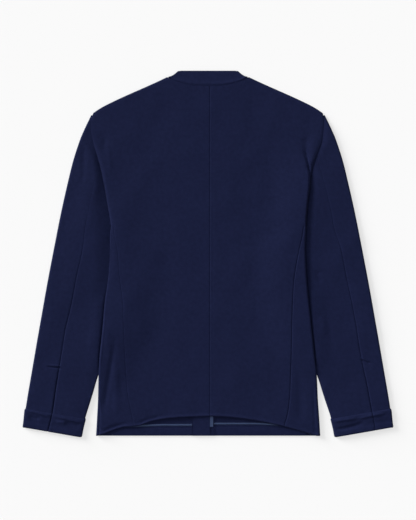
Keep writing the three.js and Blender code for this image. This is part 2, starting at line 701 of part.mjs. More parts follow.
// Collar: a stand band that runs from front edge to front edge, folded flat at both sides of the neck.
function collar() {
  const across = [0, 0.12, 0.4, 0.75, 1];
  const frontSeam = (x) => {
    const y = neckedY(x, NECK_POINT, FRONT_NECK_DEPTH, FRONT_NECK_CURVE);
    return new THREE.Vector2(x, y + HALF_GAP);
  };
  const columns = [];
  const frontColumn = (x, t, lift) => {
    const sign = Math.sign(x) || 1;
    const seam = frontSeam(x);
    const next = frontSeam(x - sign * 0.5);
    const along = next.clone().sub(seam).normalize();
    const inward = new THREE.Vector2(along.y * -sign, along.x * sign);
    if (inward.y < 0) inward.negate();
    const corner = new THREE.Vector2(sign * (COLLAR_CORNER - 3), COLLAR_TOP - 4);
    const plainTop = seam.clone().addScaledVector(inward, COLLAR_HEIGHT);
    const nearFold = eased((Math.abs(x) - 58) / 20);
    const top = plainTop.lerp(corner, nearFold);
    const place = seam.lerp(top, t);
    return [place.x, place.y, lift];
  };
  const ridgeAt = (t) => eased(t / 0.12) * (1 - eased((t - 0.12) / 0.5));
  const backHeightAt = (t) => mix(BACK_MIDDLE, COLLAR_EDGE_HEIGHT, t) + COLLAR_RIDGE * ridgeAt(t);
  const backPoint = (share, t) => {
    const x = mix(NECK_HALF - COLLAR_FOLD_INSET, COLLAR_CORNER - 1.8, t) * share;
    const slope = eased((Math.abs(share) - COLLAR_SLOPE_FROM) / (1 - COLLAR_SLOPE_FROM));
    const plainSeam = neckedY(x, NECK_POINT, BACK_NECK_DEPTH, BACK_NECK_CURVE) + HALF_GAP;
    const seam = plainSeam + COLLAR_SEAM_LIFT * slope;
    const top = COLLAR_TOP - COLLAR_CORNER_DROP * slope;
    return [x, mix(seam, top, t), backHeightAt(t)];
  };
  const lapRise = (x) => (COLLAR_WALL + SEAM_GAP) * eased((LEFT_EDGE + 10 - x) / 9);
  const frontPlaces = (side) =>
    frontColumns(side, shoulderX(NECK_POINT)).filter((reach) => reach < NECK_HALF - 6);
  for (const x of frontPlaces(SIDES.right)) columns.push(across.map((t) => frontColumn(x, t, lapRise(x))));
  const foldColumn = (sign, k) => {
    const turn = (Math.PI * k) / COLLAR_FOLD_STEPS;
    return across.map((t) => {
      const top = backPoint(sign, t);
      const low = frontColumn(sign * (NECK_HALF - COLLAR_FOLD_INSET - 0.5), t, 0);
      const topWard = (1 + Math.cos(turn)) / 2;
      const out = COLLAR_FOLD_OUT * Math.sin(turn);
      return [
        mix(low[0], top[0], topWard) + sign * 0.54 * out,
        mix(low[1], top[1], topWard) + 0.84 * out,
        top[2] * topWard,
      ];
    });
  };
  for (let k = COLLAR_FOLD_STEPS; k >= 0; k -= 1) columns.push(foldColumn(1, k));
  for (let i = 1; i < COLLAR_BACK_STEPS; i += 1) {
    const share = 1 - (2 * i) / COLLAR_BACK_STEPS;
    columns.push(across.map((t) => backPoint(share, t)));
  }
  for (let k = 0; k <= COLLAR_FOLD_STEPS; k += 1) columns.push(foldColumn(-1, k));
  for (const reach of frontPlaces(SIDES.left).reverse())
    columns.push(across.map((t) => frontColumn(-reach, t, 0)));
  const grid = columns.map((column) => column.map((p) => new THREE.Vector3(...p)));
  return clothGeometry(grid, () => COLLAR_WALL);
}

// The binding's line on the fronts' inside, a little lower towards the sides.
function hemTurnTop(x) {
  const drop = Math.max(0, Math.abs(x) - HEM_DROP_FROM) / HEM_DROP_RUN;
  return FRONT_HEM + (x < 0 ? HEM_TURN_LEFT : HEM_TURN_RIGHT) - HEM_TURN_DROP * drop;
}

// A flat strip of trim lying on a front's inside, from a list of x places and its lower and upper lines.
function strip(places, lower, upper, floor, wall) {
  const grid = places.map((x) => {
    const low = lower(x);
    const high = upper(x);
    const z = floor(x) + SEAM_GAP + wall;
    return [0, 0.5, 1].map((t) => new THREE.Vector3(x, mix(low, high, t), z));
  });
  return clothGeometry(grid, () => wall);
}

const spread = (from, to, count) => Array.from({ length: count + 1 }, (_, i) => mix(from, to, i / count));

// Inner surface of the right front where it climbs over the left one near the hem.
const rightInside = (x) => WALL + (WALL + SEAM_GAP) * eased((LAP_CLIMB + LAP_RAMP - x) / LAP_RAMP);

function trimPieces() {
  const leftPlaces = spread(-TRIM_SIDE, RIGHT_EDGE - 1, 12);
  const rightPlaces = [LAP_CLIMB + 3.6, LAP_CLIMB + 6, ...spread(LAP_CLIMB + LAP_RAMP, TRIM_SIDE, 11)];
  const facingPlaces = spread(RIGHT_EDGE + TRIM_INSET, FACING_RIGHT, 4);
  const edgePlaces = spread(FACING_RIGHT + SEAM_GAP, FACING_RIGHT + SEAM_GAP + FACING_BINDING, 2);
  const hem = () => FRONT_HEM + TRIM_INSET;
  const foot = () => FRONT_HEM + FACING_BINDING_FOOT;
  const thick = TRIM_WALL + BINDING_THICKER;
  const bindLow = (x) => hemTurnTop(x) + SEAM_GAP;
  const bindHigh = (x) => hemTurnTop(x) + SEAM_GAP + BINDING;
  const flat = () => WALL;
  const facingFloor = () => rightInside(RIGHT_EDGE);
  return [
    ["hem_left", strip(leftPlaces, hem, hemTurnTop, flat, TRIM_WALL), NAVY],
    ["hem_right", strip(rightPlaces, hem, hemTurnTop, rightInside, TRIM_WALL), NAVY],
    ["binding_hem_left", strip(leftPlaces, bindLow, bindHigh, flat, thick), STEEL_BLUE],
    ["binding_hem_right", strip(rightPlaces, bindLow, bindHigh, rightInside, thick), STEEL_BLUE],
    ["facing_right", strip(facingPlaces, hem, () => FACING_TOP, facingFloor, TRIM_WALL), NAVY],
    ["binding_facing", strip(edgePlaces, foot, () => FACING_TOP, facingFloor, TRIM_WALL), STEEL_BLUE],
  ];
}

// Button: a dished disc with a rim, let in flush with the left front's outside.
function buttonGeometry() {
  const profile = [
    [0, BUTTON_DISH],
    [BUTTON_RADIUS - 3.2, BUTTON_DISH],
    [BUTTON_RADIUS - 2.4, 0],
    [BUTTON_RADIUS - 0.7, 0],
    [BUTTON_RADIUS, 0.6],
    [BUTTON_RADIUS - 0.4, BUTTON_THICK],
    [0, BUTTON_THICK],
  ].map(([r, z]) => new THREE.Vector2(r, z));
  return new THREE.LatheGeometry(profile, 18).rotateX(Math.PI / 2);
}

const wasm = await Module();
wasm.setup();

function solidOf(geometry) {
  const bare = new THREE.BufferGeometry();
  bare.setAttribute("position", geometry.getAttribute("position"));
  bare.setIndex(geometry.getIndex());
  const merged = mergeVertices(bare, 1e-4);
  return new wasm.Manifold(
    new wasm.Mesh({
      numProp: 3,
      vertProperties: new Float32Array(merged.getAttribute("position").array),
      triVerts: new Uint32Array(merged.getIndex().array),
    }),
  );
}

function geometryOf(solid) {
  const mesh = solid.getMesh();
  const geometry = new THREE.BufferGeometry();
  geometry.setAttribute("position", new THREE.Float32BufferAttribute(mesh.vertProperties, 3));
  geometry.setIndex(Array.from(mesh.triVerts));
  return geometry;
}

// Makes a closed surface face outwards whichever way its grid ran.
function facingOut(geometry) {
  if (solidOf(geometry).volume() < 0) turnInsideOut(geometry);
  return geometry;
}

const buttonPlaces = Array.from({ length: BUTTON_COUNT }, (_, i) => {
  return [BUTTON_X, BUTTON_FIRST + BUTTON_PITCH * i];
});

// The left front with a flat seat cut for each button.
function frontLeft() {
  let solid = solidOf(facingOut(frontPanel(SIDES.left)));
  const seatDepth = BUTTON_THICK + SEAM_GAP;
  const seatRadius = BUTTON_RADIUS + SEAM_GAP;
  for (const [x, y] of buttonPlaces) {
    const seat = new THREE.CylinderGeometry(seatRadius, seatRadius, 2 * seatDepth, 24);
    seat.rotateX(Math.PI / 2).translate(x, y, 0);
    solid = solid.subtract(solidOf(seat));
  }
  return geometryOf(solid);
}

const jacket = new THREE.Group();

function add(name, geometry, colour, roughness = 0.95) {
  const material = new THREE.MeshStandardMaterial({ color: colour, roughness, metalness: 0 });
  const mesh = new THREE.Mesh(facingOut(geometry), material);
  mesh.name = name;
  jacket.add(mesh);
  return mesh;
}

for (const [name, side] of Object.entries(SIDES)) {
  add("back_" + name, backPanel(side), NAVY);
  add("side_" + name, sidePanel(side), NAVY);
  add("top_sleeve_" + name, topSleeve(side), NAVY);
  add("under_sleeve_" + name, underSleeve(side), NAVY);
  add("cuff_" + name, cuff(side), NAVY);
}
add("front_left", frontLeft(), NAVY);
add("front_right", frontPanel(SIDES.right), NAVY);
add("collar", collar(), NAVY);
for (const [name, geometry, colour] of trimPieces()) add(name, geometry, colour);
buttonPlaces.forEach(([x, y], i) => {
  add("button_" + (i + 1), buttonGeometry(), BUTTON_NAVY, 0.4).position.set(x, y, 0);
});

export default jacket;
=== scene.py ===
import json
import math

import bpy
import numpy as np
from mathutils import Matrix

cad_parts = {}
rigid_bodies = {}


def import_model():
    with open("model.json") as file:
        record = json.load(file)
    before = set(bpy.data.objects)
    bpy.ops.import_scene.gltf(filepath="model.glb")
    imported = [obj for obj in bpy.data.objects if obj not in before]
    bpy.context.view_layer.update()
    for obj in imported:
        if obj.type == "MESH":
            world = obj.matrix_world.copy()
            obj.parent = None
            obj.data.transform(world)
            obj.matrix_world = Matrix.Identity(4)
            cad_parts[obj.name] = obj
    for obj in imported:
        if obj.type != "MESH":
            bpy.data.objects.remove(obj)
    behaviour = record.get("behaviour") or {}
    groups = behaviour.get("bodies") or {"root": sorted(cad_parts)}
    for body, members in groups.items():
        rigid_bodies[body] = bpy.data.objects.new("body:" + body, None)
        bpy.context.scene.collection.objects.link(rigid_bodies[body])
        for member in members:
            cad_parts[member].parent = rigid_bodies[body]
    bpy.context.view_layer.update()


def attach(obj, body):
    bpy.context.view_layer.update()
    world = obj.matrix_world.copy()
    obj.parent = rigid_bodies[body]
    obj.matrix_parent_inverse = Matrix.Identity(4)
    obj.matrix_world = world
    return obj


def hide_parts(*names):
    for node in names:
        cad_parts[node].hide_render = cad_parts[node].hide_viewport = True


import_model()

# A shirt jacket of plain navy jersey, laid flat and face down, seen from straight above.
# Sizes are millimetres on the garment, and become metres when a piece is made.

MM = 0.001

# Cloth and seams
WALL = 1.3
COLLAR_WALL = 1.8
TRIM_WALL = 1.1
SEAM_GAP = 0.01
HALF_GAP = SEAM_GAP / 2
LAYER_GAP = 0.3
FOLD_RUN = 4
FOLD_STEPS = 10
SEAM_DEPTH = 0.75
SEAM_ROLL = 2.6
ELBOW_ROLL = 3.6

# Spacing of the cloth's points where it shows and where it lies hidden
FINE = 2.8
COARSE = 5.5
MARK_ROWS = (-196, -236)
MARK_STEP = 1.1
NARROW_ROW = 14
NEAR_SEAM = np.array([0, 0.35, 0.8, 1.4, 2.2, 3.4])
NEAR_ARMHOLE = np.array([0, 0.5, 1, 1.7, 2.5, 3.5, 4.7, 6, 7.4, 9, 10.6, 12.2, 13.8, 15.5, 17.3, 19.2])
NEAR_VALLEY = np.array([0, 0.8, 1.6, 2.4, 3.3, 4.4, 5.8, 7.6, 9.8])

# Heights of the laid layers
BACK_MIDDLE = 6.9
BACK_SIDE = 6.2
SLEEVE_CROWN = 6.4
SLEEVE_TUCKED = 5.2
BODY_LIFT = 5.8
BACK_RIM = 4.2
RIM_FADE = 19
FRONT_RIM = 2
SHOULDER_BLADE = 0.6
ARMHOLE_ROLL = 9
UNDERARM_ROLL = 4.2
ROLL_FROM = 40
ROLL_FADE = 90
UNDERARM_SLIT = 120
SHOULDER_ROLL = 10

# Lift of the body's side over the tucked sleeve. Its ramp is short where the sleeve only just reaches under.
LIFT_REACH = 8.4
FIRST_TOUCH = 0.9
LIFT_RAMP = 45
SHORT_RAMP = 5
SHORT_RAMP_UNDER = 11
SHORT_RAMP_FADE = 12
UPPER_RAMP = 85
LIFT_MARGIN = 5
LIFT_FADE = 8

# The sleeve's climb out of the valley beside the body: where its lip starts, and the lip's run
LIP_START = 0.6
LIP_RUN = 4.2
VALLEY_UNDER = 3
TUCK_CLIMB = 5
PUFF_RUN = 6
PUFF_FADE = 34
CAP_DROP = 0.3

# Lengths on the body
NECK_POINT = 353
SHOULDER_TIP = 281
UNDERARM = 56
FRONT_HEM = -363.2
BACK_HEM = -324.2
HEM_ARCH_REACH = 212
ARCH_CURVE = 1.8
ARCH_FADE = 110
NECK_HALF = 81
BACK_NECK_DEPTH = 17.6
BACK_NECK_CURVE = 2.6
FRONT_NECK_DEPTH = 88
FRONT_NECK_CURVE = 2.4
NECK_FADE = 2.1
CENTRE_BACK = 4
SIDE_FRONT_INSET = 3
FRONT_ARMHOLE_SCOOP = 12

# Front lap, and how many buttons it has
LEFT_EDGE = 8
RIGHT_EDGE = -31
LAP_RAMP = 9
LAP_THICK = 3.2
LAP_FROM = -262
LAP_FADE = 34
LAP_TOP = 236
LAP_CLIMB = LEFT_EDGE + 0.8
LAP_INSIDE = 29
LAP_INNER_RAMP = 7
BUTTON_COUNT = 5

# Trim of the hem's inside
HEM_TURN = {"left": 19.4, "right": 22}
HEM_LIP = 1.3
HEM_LIP_PLACE = 2.4
HEM_LIP_HALF = 1.8
EDGE_ROLL = 1.6
BINDING = 3.7
FACING_TOP = -302
FACING_RIGHT = 3.7
TRIM_SIDE = 196
TRIM_INSET = 0.6
HEM_TURN_DROP = 2.2
HEM_DROP_FROM = 95
HEM_DROP_RUN = 55
FACING_BINDING = 6.4
FACING_BINDING_FOOT = 18
BINDING_THICKER = 0.4
TRIM_CLOTH = 0.62

# Collar
COLLAR_HEIGHT = 28
COLLAR_TOP = 366
COLLAR_CORNER = 61.5
COLLAR_FOLD_OUT = 1.6
COLLAR_SLOPE_FROM = 0.9
COLLAR_CORNER_DROP = 0.7
COLLAR_FOLD_INSET = 2.5
COLLAR_SEAM_LIFT = 2.4
COLLAR_SEWN_OVER = 0.3
COLLAR_EDGE_HEIGHT = 5.4
COLLAR_RIDGE = 0.8
COLLAR_SEAM_SINK = 0.2
COLLAR_FOLD_STEPS = 12
COLLAR_BACK_STEPS = 56

# Sleeves and cuffs
CAP_TOP = 277
FRONT_SEAM_START = 134
FRONT_SEAM_SWING = 0.3
FRONT_SEAM_FADE = 150
CUFF_TOP = -308.2
CUFF_END = -346
CUFF_OUTSET = 1.8
CUFF_RISE = 0.8
CUFF_TILT = 0.177
TILT_FROM = 40
TILT_CURVE = 1.3


def table(names, *rows):
    """A table of numbers whose columns have names."""
    return {name: np.array([row[i] for row in rows], float) for i, name in enumerate(names.split())}


SHOULDER = table(
    "y x",
    (353, 82.4), (348, 92.7), (336, 118.9), (318, 159.7),
    (306, 185.9), (294, 209.9), (287, 221.2), (281, 229.5),
)

ARMHOLE = table(
    "y left right",
    (281, 229.5, 229.5),
    (268, 232.6, 231),
    (246, 233.2, 229.8),
    (221, 228.6, 226.4),
    (200, 222.4, 218.8),
    (183, 218, 212),
    (160, 212.4, 206.5),
    (134, 207.2, 204.3),
    (108, 202.4, 200.5),
    (71, 196, 197),
    (56, 194, 196.5),
)

BODY = table(
    "y fold_left fold_right seam_left seam_right",
    (56, 194, 196.5, 188.6, 191),
    (32, 195.6, 194.9, 186, 187.4),
    (8, 195.4, 194.4, 180.8, 181.7),
    (-44, 198.6, 196.6, 176.6, 172.4),
    (-96, 206, 201.4, 169.9, 168.8),
    (-150, 210.6, 207, 168.2, 167.4),
    (-204, 216.2, 212.8, 165.6, 166.4),
    (-245, 218.6, 217.4, 163.2, 165.2),
    (-290, 219.8, 219.6, 159.4, 163.2),
    (-330, 221.8, 222.4, 152.8, 159.6),
    (-366, 223.8, 224.4, 147.5, 151.5),
)

SLEEVE_OUTER = table(
    "y x",
    (277, 233.6), (270, 237), (248, 247.4), (228, 255.8), (188, 268.9), (148, 278.9), (88, 292.5),
    (28, 304.5), (-52, 319.9), (-132, 334.2), (-212, 348.2), (-308, 364.4), (-346, 368.9),
)

# How far the sleeve's inner fold lies under the body's side fold. Below the last contact it is a gap.
TUCK = table(
    "y under",
    (56, 0), (48, 2.6), (40, 7), (28, 15), (10, 25), (-20, 30), (-100, 30), (-145, 25.5), (-180, 16.5),
    (-205, 9.5), (-225, 4), (-240, 0.6), (-252, -3), (-272, -8.3), (-292, -13.7), (-330, -23.4),
    (-366, -29.4),
)

# Elbow seam, which becomes the vent line and runs on through the cuff.
ELBOW = table(
    "y left right",
    (200, 213, 215.6),
    (178, 218.2, 221.8),
    (160, 222.8, 227.2),
    (134, 228.8, 234.6),
    (84, 238.8, 246.4),
    (51, 245, 252.4),
    (8, 250.4, 266),
    (-45, 262, 276.3),
    (-100, 272.5, 288),
    (-150, 284.5, 297),
    (-190, 290.8, 303),
    (-230, 297.6, 311),
    (-272, 304.4, 319.5),
    (-319, 311.2, 328.2),
    (-366, 323, 337.2),
)

# How the back's hem rises or falls from its plain arch: a wavy stretch on the wearer's left.
HEM_WAVE = table(
    "x rise",
    (-25, 0), (-72, 2.4), (-112, 3.4), (-136, 0.2), (-152, 1.6), (-172, 5.4), (-204, 4), (-222, 0),
)

# Height that the back's upper side gains beside the armhole and over the sleeve that lies under it.
LIFT = table(
    "y left right",
    (236, 0, 0), (205, 0.2, 0.8), (178, 0.4, 2.8), (150, 0.6, 4.8), (108, 1, 6), (70, 1.4, 6.2),
    (48, 1.8, 6.2), (24, 2.3, 6), (-30, 2.5, 5.8), (-100, 4, 5.6), (-160, 5.2, 5.4),
    (-190, 5.1, 5.2), (-215, 4.5, 4.5),
    (-236, 3.2, 3.1), (-254, 1.2, 1.2), (-272, 0.2, 0.2), (-290, 0, 0),
)

# How far the back's upper side softly falls off towards the armhole and the side fold.
SOFT_EDGE = table(
    "y left right",
    (160, 0, 0), (110, 1, 0), (66, 2.2, 0), (-40, 2.4, 0), (-90, 1, 0), (-120, 0, 0),
)
SOFT_EDGE_RUN = 15

# The valley between sleeve and body: the height of its floor, the run of the sleeve's slope out of it,
# the share of that slope that is a steep lip, and how far the sleeve puffs up beside it.
VALLEY = table(
    "y floor_left floor_right run_left run_right lip_left lip_right puff_left puff_right",
    (240, 5.6, 5.4, 20, 16, 0, 0, 0, 0),
    (205, 4.2, 5, 14, 12, 0, 0.1, 0, 0),
    (178, 3, 4.4, 13, 12, 0, 0.3, 0, 0),
    (150, 3, 2.7, 16, 16, 0, 0.3, 0, 0),
    (108, 3, 2.7, 28, 20, 0, 0.3, 0, 0),
    (56, 4, 2.7, 38, 20, 0, 0.4, 0, 0),
    (0, 4.6, 2.7, 36, 20, 0, 0.3, 0, 0),
    (-60, 4.4, 2.7, 30, 18, 0, 0.4, 0, 0.4),
    (-100, 3.6, 2.7, 24, 12, 0.4, 0.8, 0.6, 1.6),
    (-160, 2.8, 2.8, 18, 10, 0.8, 0.9, 1.2, 2.4),
    (-205, 3, 3, 14, 10, 0.9, 0.9, 1, 2),
    (-228, 4.2, 4.2, 14, 12, 0.6, 0.6, 0.4, 0.6),
    (-246, 5.2, 5.2, 30, 30, 0, 0, 0, 0),
)

# Ridge of the sleeve along the elbow seam, above its plain crown.
RIDGE = table(
    "y left right",
    (215, 0.2, 0), (180, 1.2, 0.3), (134, 2.3, 0.7), (84, 3, 0.9), (30, 3.2, 0.8), (-20, 2.3, 0.5),
    (-80, 0.8, 0.2), (-140, 0, 0),
)

# Depth of the ditch along the elbow seam, and how far each edge of the vent stands open below its mark.
ELBOW_DITCH = table(
    "y left right open_left open_right",
    (200, 0.05, 0.1, 0, 0),
    (150, 0.15, 0.3, 0, 0),
    (60, 0.3, 0.5, 0, 0),
    (-20, 0.7, 0.8, 0, 0),
    (-120, 1.2, 1, 0, 0),
    (-218, 1.4, 1.1, 0, 0),
    (-232, 1.5, 1.1, 0.5, 0.25),
    (-366, 1.5, 1.1, 0.6, 0.3),
)

# Large soft forms, eight of the part's own twelve and four of those lower: each lies along a line, and
# stands up by its rise.
SOFT_FORMS = table(
    "x1 y1 x2 y2 half rise",
    (214, 226, 206, 186, 9, 0.9),
    (195.5, 224, 203, 172, 6, -0.9),
    (-208, 232, -205, 214, 9, -0.9),
    (-120, 60, -60, -120, 60, 0.5),
    (110, -20, 70, -220, 60, 0.4),
    (-215, -98, -229, -178, 8, 0.5),
    (300, 20, 330, -150, 22, 0.6),
    (-285, 40, -318, -160, 22, 0.6),
)

# Creases placed one by one: a line, how far its middle bows sideways, its half width and its rise.
CREASES = table(
    "x1 y1 x2 y2 bow half rise",
    (190.5, 218, 206, 148, 1, 1.8, -2.8),
    (150, 262, 196, 228, -4, 8, 0.7),
    (-206, 240, -196, 150, 4, 4, 0.5),
    (-205, 232, -206, 214, 0, 5, -0.8),
    (-248, 226, -252, 130, 2, 5, -0.8),
    (9.6, 326, 9.8, -318, 0, 1.3, -0.22),
    (-215.6, -290, -218.6, -384, 0, 1.5, -1.2),
    (-183, -160, -212, -330, 0, 5, -1.5),
    (-184, -210, -182, -330, 0, 7, 1),
    (-206, -120, -219, -250, 0, 3, 0.8),
    (-202, -140, -202, -198, 0, 8, 0.9),
    (-212, -357, -158, -338, 2, 4.5, -1.9),
    (-146, -343, -88, -324, 3, 3.5, -1.4),
    (180, -220, 184, -340, 2, 9, -1),
    (210, -260, 215, -384, 0, 1.6, -0.9),
    (216, -30, 224, -62, 0, 7, -1),
    (228, -120, 232, -166, 0, 7, 0.9),
    (-323, -225, -290, -228.6, 0, 1.6, -1.6),
    (-323, -221, -290, -224.4, 0, 1.6, 1.2),
    (303, -210, 325, -220, 0, 1.6, -1.5),
    (303, -206, 325, -216, 0, 1.6, 1.2),
    (-362, -311, -308, -326, 0, 2.4, 1.7),
    (-312, -322, -244, -338.5, 0, 2.4, 1.7),
    (-358, -324, -334, -330, 0, 4, -1.5),
    (-288, -335, -254, -346, 0, 4.6, -1.6),
    (-304, -334.6, -281, -337, 0, 2.6, 1.2),
    (246, -335, 302, -327, 0, 2.4, 1.6),
    (294, -329, 358, -316.6, 0, 2.4, 1.6),
    (252, -350, 318, -331.6, -4, 3.5, -1.6),
)


def eased(t):
    c = np.clip(t, 0, 1)
    return c * c * (3 - 2 * c)


def mix(a, b, t):
    return a + (b - a) * t


def rolled(away, run):
    """Share of the full height that cloth has at a distance from its rounded edge."""
    return np.sqrt(1 - (1 - np.clip(away / run, 0, 1)) ** 2)


def through(rows, column, along="y"):
    """A smooth curve through one column of a table whose rows fall in another column."""
    y = rows[along]
    value = rows[column]
    ahead = np.minimum(np.arange(len(y)) + 1, len(y) - 1)
    behind = np.maximum(np.arange(len(y)) - 1, 0)
    slope = (value[ahead] - value[behind]) / (y[ahead] - y[behind])

    def curve(at):
        at = np.asarray(at, float)
        i = np.clip(np.searchsorted(-y, -at, side="right") - 1, 0, len(y) - 2)
        run = y[i + 1] - y[i]
        t = np.clip((at - y[i]) / run, 0, 1)
        start = (2 * t**3 - 3 * t**2 + 1) * value[i] + (t**3 - 2 * t**2 + t) * run * slope[i]
        return start + (3 * t**2 - 2 * t**3) * value[i + 1] + (t**3 - t**2) * run * slope[i + 1]

    return curve


shoulder_x = through(SHOULDER, "x")
outer_x = through(SLEEVE_OUTER, "x")
tuck_at = through(TUCK, "under")
hem_wave = through(HEM_WAVE, "rise", "x")


class Side:
    """One side of the jacket: its name, its sign along X, and its seam lines."""

    def __init__(self, name, sign, elbow_top, seam_depth):
        self.name = name
        self.sign = sign
        self.armhole = through(ARMHOLE, name)
        self.fold = through(BODY, "fold_" + name)
        self.seam = through(BODY, "seam_" + name)
        self.elbow = through(ELBOW, name)
        self.elbow_top = elbow_top
        self.elbow_ditch = through(ELBOW_DITCH, name)
        self.vent_open = through(ELBOW_DITCH, "open_" + name)
        self.seam_depth = seam_depth
        self.lift = through(LIFT, name)
        self.soft_edge = through(SOFT_EDGE, name)
        self.ridge = through(RIDGE, name)
        self.floor = through(VALLEY, "floor_" + name)
        self.run = through(VALLEY, "run_" + name)
        self.lip = through(VALLEY, "lip_" + name)
        self.puff = through(VALLEY, "puff_" + name)


SIDES = (Side("left", -1, elbow_top=181, seam_depth=0.35), Side("right", 1, elbow_top=197, seam_depth=1.2))


def soft_forms(x, y):
    """Rise of the large soft forms at places on the upper side."""
    rise = 0
    for x1, y1, x2, y2, half, height in zip(*SOFT_FORMS.values()):
        dx = x2 - x1
        dy = y2 - y1
        t = np.clip(((x - x1) * dx + (y - y1) * dy) / (dx * dx + dy * dy), 0, 1)
        away = np.hypot(x - x1 - dx * t, y - y1 - dy * t)
        rise = rise + height * eased(1 - away / (2 * half))
    return rise


def creases(x, y):
    """Rise of the listed creases, each fading out at both ends."""
    rise = 0
    for x1, y1, x2, y2, bow, half, height in zip(*CREASES.values()):
        length = math.hypot(x2 - x1, y2 - y1)
        ux = (x2 - x1) / length
        uy = (y2 - y1) / length
        t = ((x - x1) * ux + (y - y1) * uy) / length
        aside = (y - y1) * ux - (x - x1) * uy - bow * 4 * t * (1 - t)
        ends = eased(t / 0.3) * eased((1 - t) / 0.3)
        rise = rise + height * ends * np.exp(-((aside / half) ** 2))
    return rise


# Slow unevenness of cloth that was smoothed out by hand: many faint waves in all directions.
WAVE_SEED = 7
WAVE_COUNT = 60
WAVE_SHORT = 26
WAVE_LONG = 150
WAVE_STEEP = 0.0015


def wave_set():
    draw = np.random.RandomState(WAVE_SEED)
    length = WAVE_SHORT * (WAVE_LONG / WAVE_SHORT) ** draw.rand(WAVE_COUNT)
    turn = draw.rand(WAVE_COUNT) * math.pi
    phase = draw.rand(WAVE_COUNT) * 2 * math.pi
    return length, turn, phase


WAVES = wave_set()


def unevenness(x, y):
    rise = 0
    for length, turn, phase in zip(*WAVES):
        along = x * math.cos(turn) + y * math.sin(turn)
        wave = np.sin(2 * math.pi * along / length + phase)
        rise = rise + WAVE_STEEP * length * wave / math.sqrt(WAVE_COUNT / 8)
    return rise


def relief(x, y):
    return soft_forms(x, y) + creases(x, y) + unevenness(x, y)


def upper_lift(side, reach, y):
    """Height that the back's upper side gains beside the armhole and over the tucked sleeve."""
    edge = np.where(y > UNDERARM, side.armhole(y), side.fold(y))
    start = edge - np.maximum(tuck_at(y), 0) - UPPER_RAMP - LIFT_MARGIN
    fall = side.soft_edge(y) * (1 - rolled(edge - reach, SOFT_EDGE_RUN))
    return side.lift(y) * eased((reach - start) / UPPER_RAMP) - fall


def body_lift(side, reach, y):
    """Height that the body's lower layer gains where it lies on the tucked sleeve."""
    under = tuck_at(y)
    near = 1 - np.clip((under + FIRST_TOUCH) / LIFT_REACH, 0, 1)
    height = BODY_LIFT * np.sqrt(1 - near * near) * eased((UNDERARM + LIFT_FADE - y) / LIFT_FADE)
    ramp = mix(SHORT_RAMP, LIFT_RAMP, eased((under - SHORT_RAMP_UNDER) / SHORT_RAMP_FADE))
    start = side.fold(y) - np.maximum(under, 0) - ramp - LIFT_MARGIN
    return height * eased((reach - start) / ramp)


# Where the back falls off beside its middle, and where the shoulder blade stands up
MIDDLE_REACH = 40
MIDDLE_FADE = 60
BLADE_FROM = 20
BLADE_FADE = 60
BLADE_OVER_UNDERARM = 120
BLADE_REACH = 120
BLADE_SIDE_FADE = 50


def back_height(side, reach, y):
    """Outer height of the back layer, reach being the distance from the middle on one side."""
    plain = mix(BACK_MIDDLE, BACK_SIDE, eased((reach - MIDDLE_REACH) / MIDDLE_FADE))
    above = eased((y - BLADE_FROM) / BLADE_FADE)
    below = eased((UNDERARM + BLADE_OVER_UNDERARM - y) / BLADE_FADE)
    blade = above * below * eased((reach - BLADE_REACH) / BLADE_SIDE_FADE)
    return plain + SHOULDER_BLADE * blade + upper_lift(side, reach, y)


def hem_edge(height_above):
    """Rise near the back's hem: a turned lip, rounded down at the very edge."""
    lip = HEM_LIP * np.exp(-(((height_above - HEM_LIP_PLACE) / HEM_LIP_HALF) ** 2))
    return lip - SEAM_DEPTH * (1 - rolled(height_above, EDGE_ROLL))


def arched(x, y):
    """The back's hem rises in an arch over the front's, and the rows above follow it."""
    across = np.clip(np.abs(x - CENTRE_BACK) / HEM_ARCH_REACH, 0, 1)
    arch = (BACK_HEM - FRONT_HEM) * (1 - across**ARCH_CURVE) + hem_wave(x)
    return y + arch * eased((FRONT_HEM + ARCH_FADE - y) / ARCH_FADE)


def necked(x, y, depth, curve):
    """The neckline dips between the neck points, and the rows below follow it."""
    across = np.clip(np.abs(x) / NECK_HALF, 0, 1)
    fade = NECK_FADE * depth
    return y - depth * (1 - across**curve) * eased((y - (NECK_POINT - fade)) / fade)


def front_armhole(side, y):
    along = np.clip((SHOULDER_TIP - y) / (SHOULDER_TIP - UNDERARM), 0, 1)
    return side.armhole(y) - FRONT_ARMHOLE_SCOOP * np.sin(math.pi * along)


def spaced(start, end, step):
    """Evenly spaced places from start to end, both included."""
    count = max(int(round(abs(end - start) / step)), 1)
    return np.linspace(start, end, count + 1)


def near_edge(edge, towards):
    """Places close together at an edge, towards being 1 or -1."""
    return edge + towards * NEAR_SEAM


def across(inner, outer, step, near_inner=NEAR_SEAM, near_outer=NEAR_SEAM):
    """Columns for rows of cloth: close together at both edges, even between them."""
    room = np.minimum(1, (outer - inner) / NARROW_ROW)[:, None]
    left = inner[:, None] + near_inner[None, :] * room
    right = outer[:, None] - near_outer[None, ::-1] * room
    count = max(int(round(np.percentile(outer - inner, 80) / step)), 2)
    t = np.linspace(0, 1, count + 1)[1:-1]
    middle = mix(left[:, -1:], right[:, :1], t[None, :])
    return np.hstack([left, middle, right])


def deselect():
    if bpy.context.mode != "OBJECT":
        bpy.ops.object.mode_set(mode="OBJECT")
    bpy.ops.object.select_all(action="DESELECT")


def only(piece):
    deselect()
    piece.select_set(True)
    bpy.context.view_layer.objects.active = piece


def apply_modifier(piece, kind, **settings):
    only(piece)
    modifier = piece.modifiers.new(kind.lower(), kind)
    for name, value in settings.items():
        setattr(modifier, name, value)
    bpy.ops.object.modifier_apply(modifier=modifier.name)


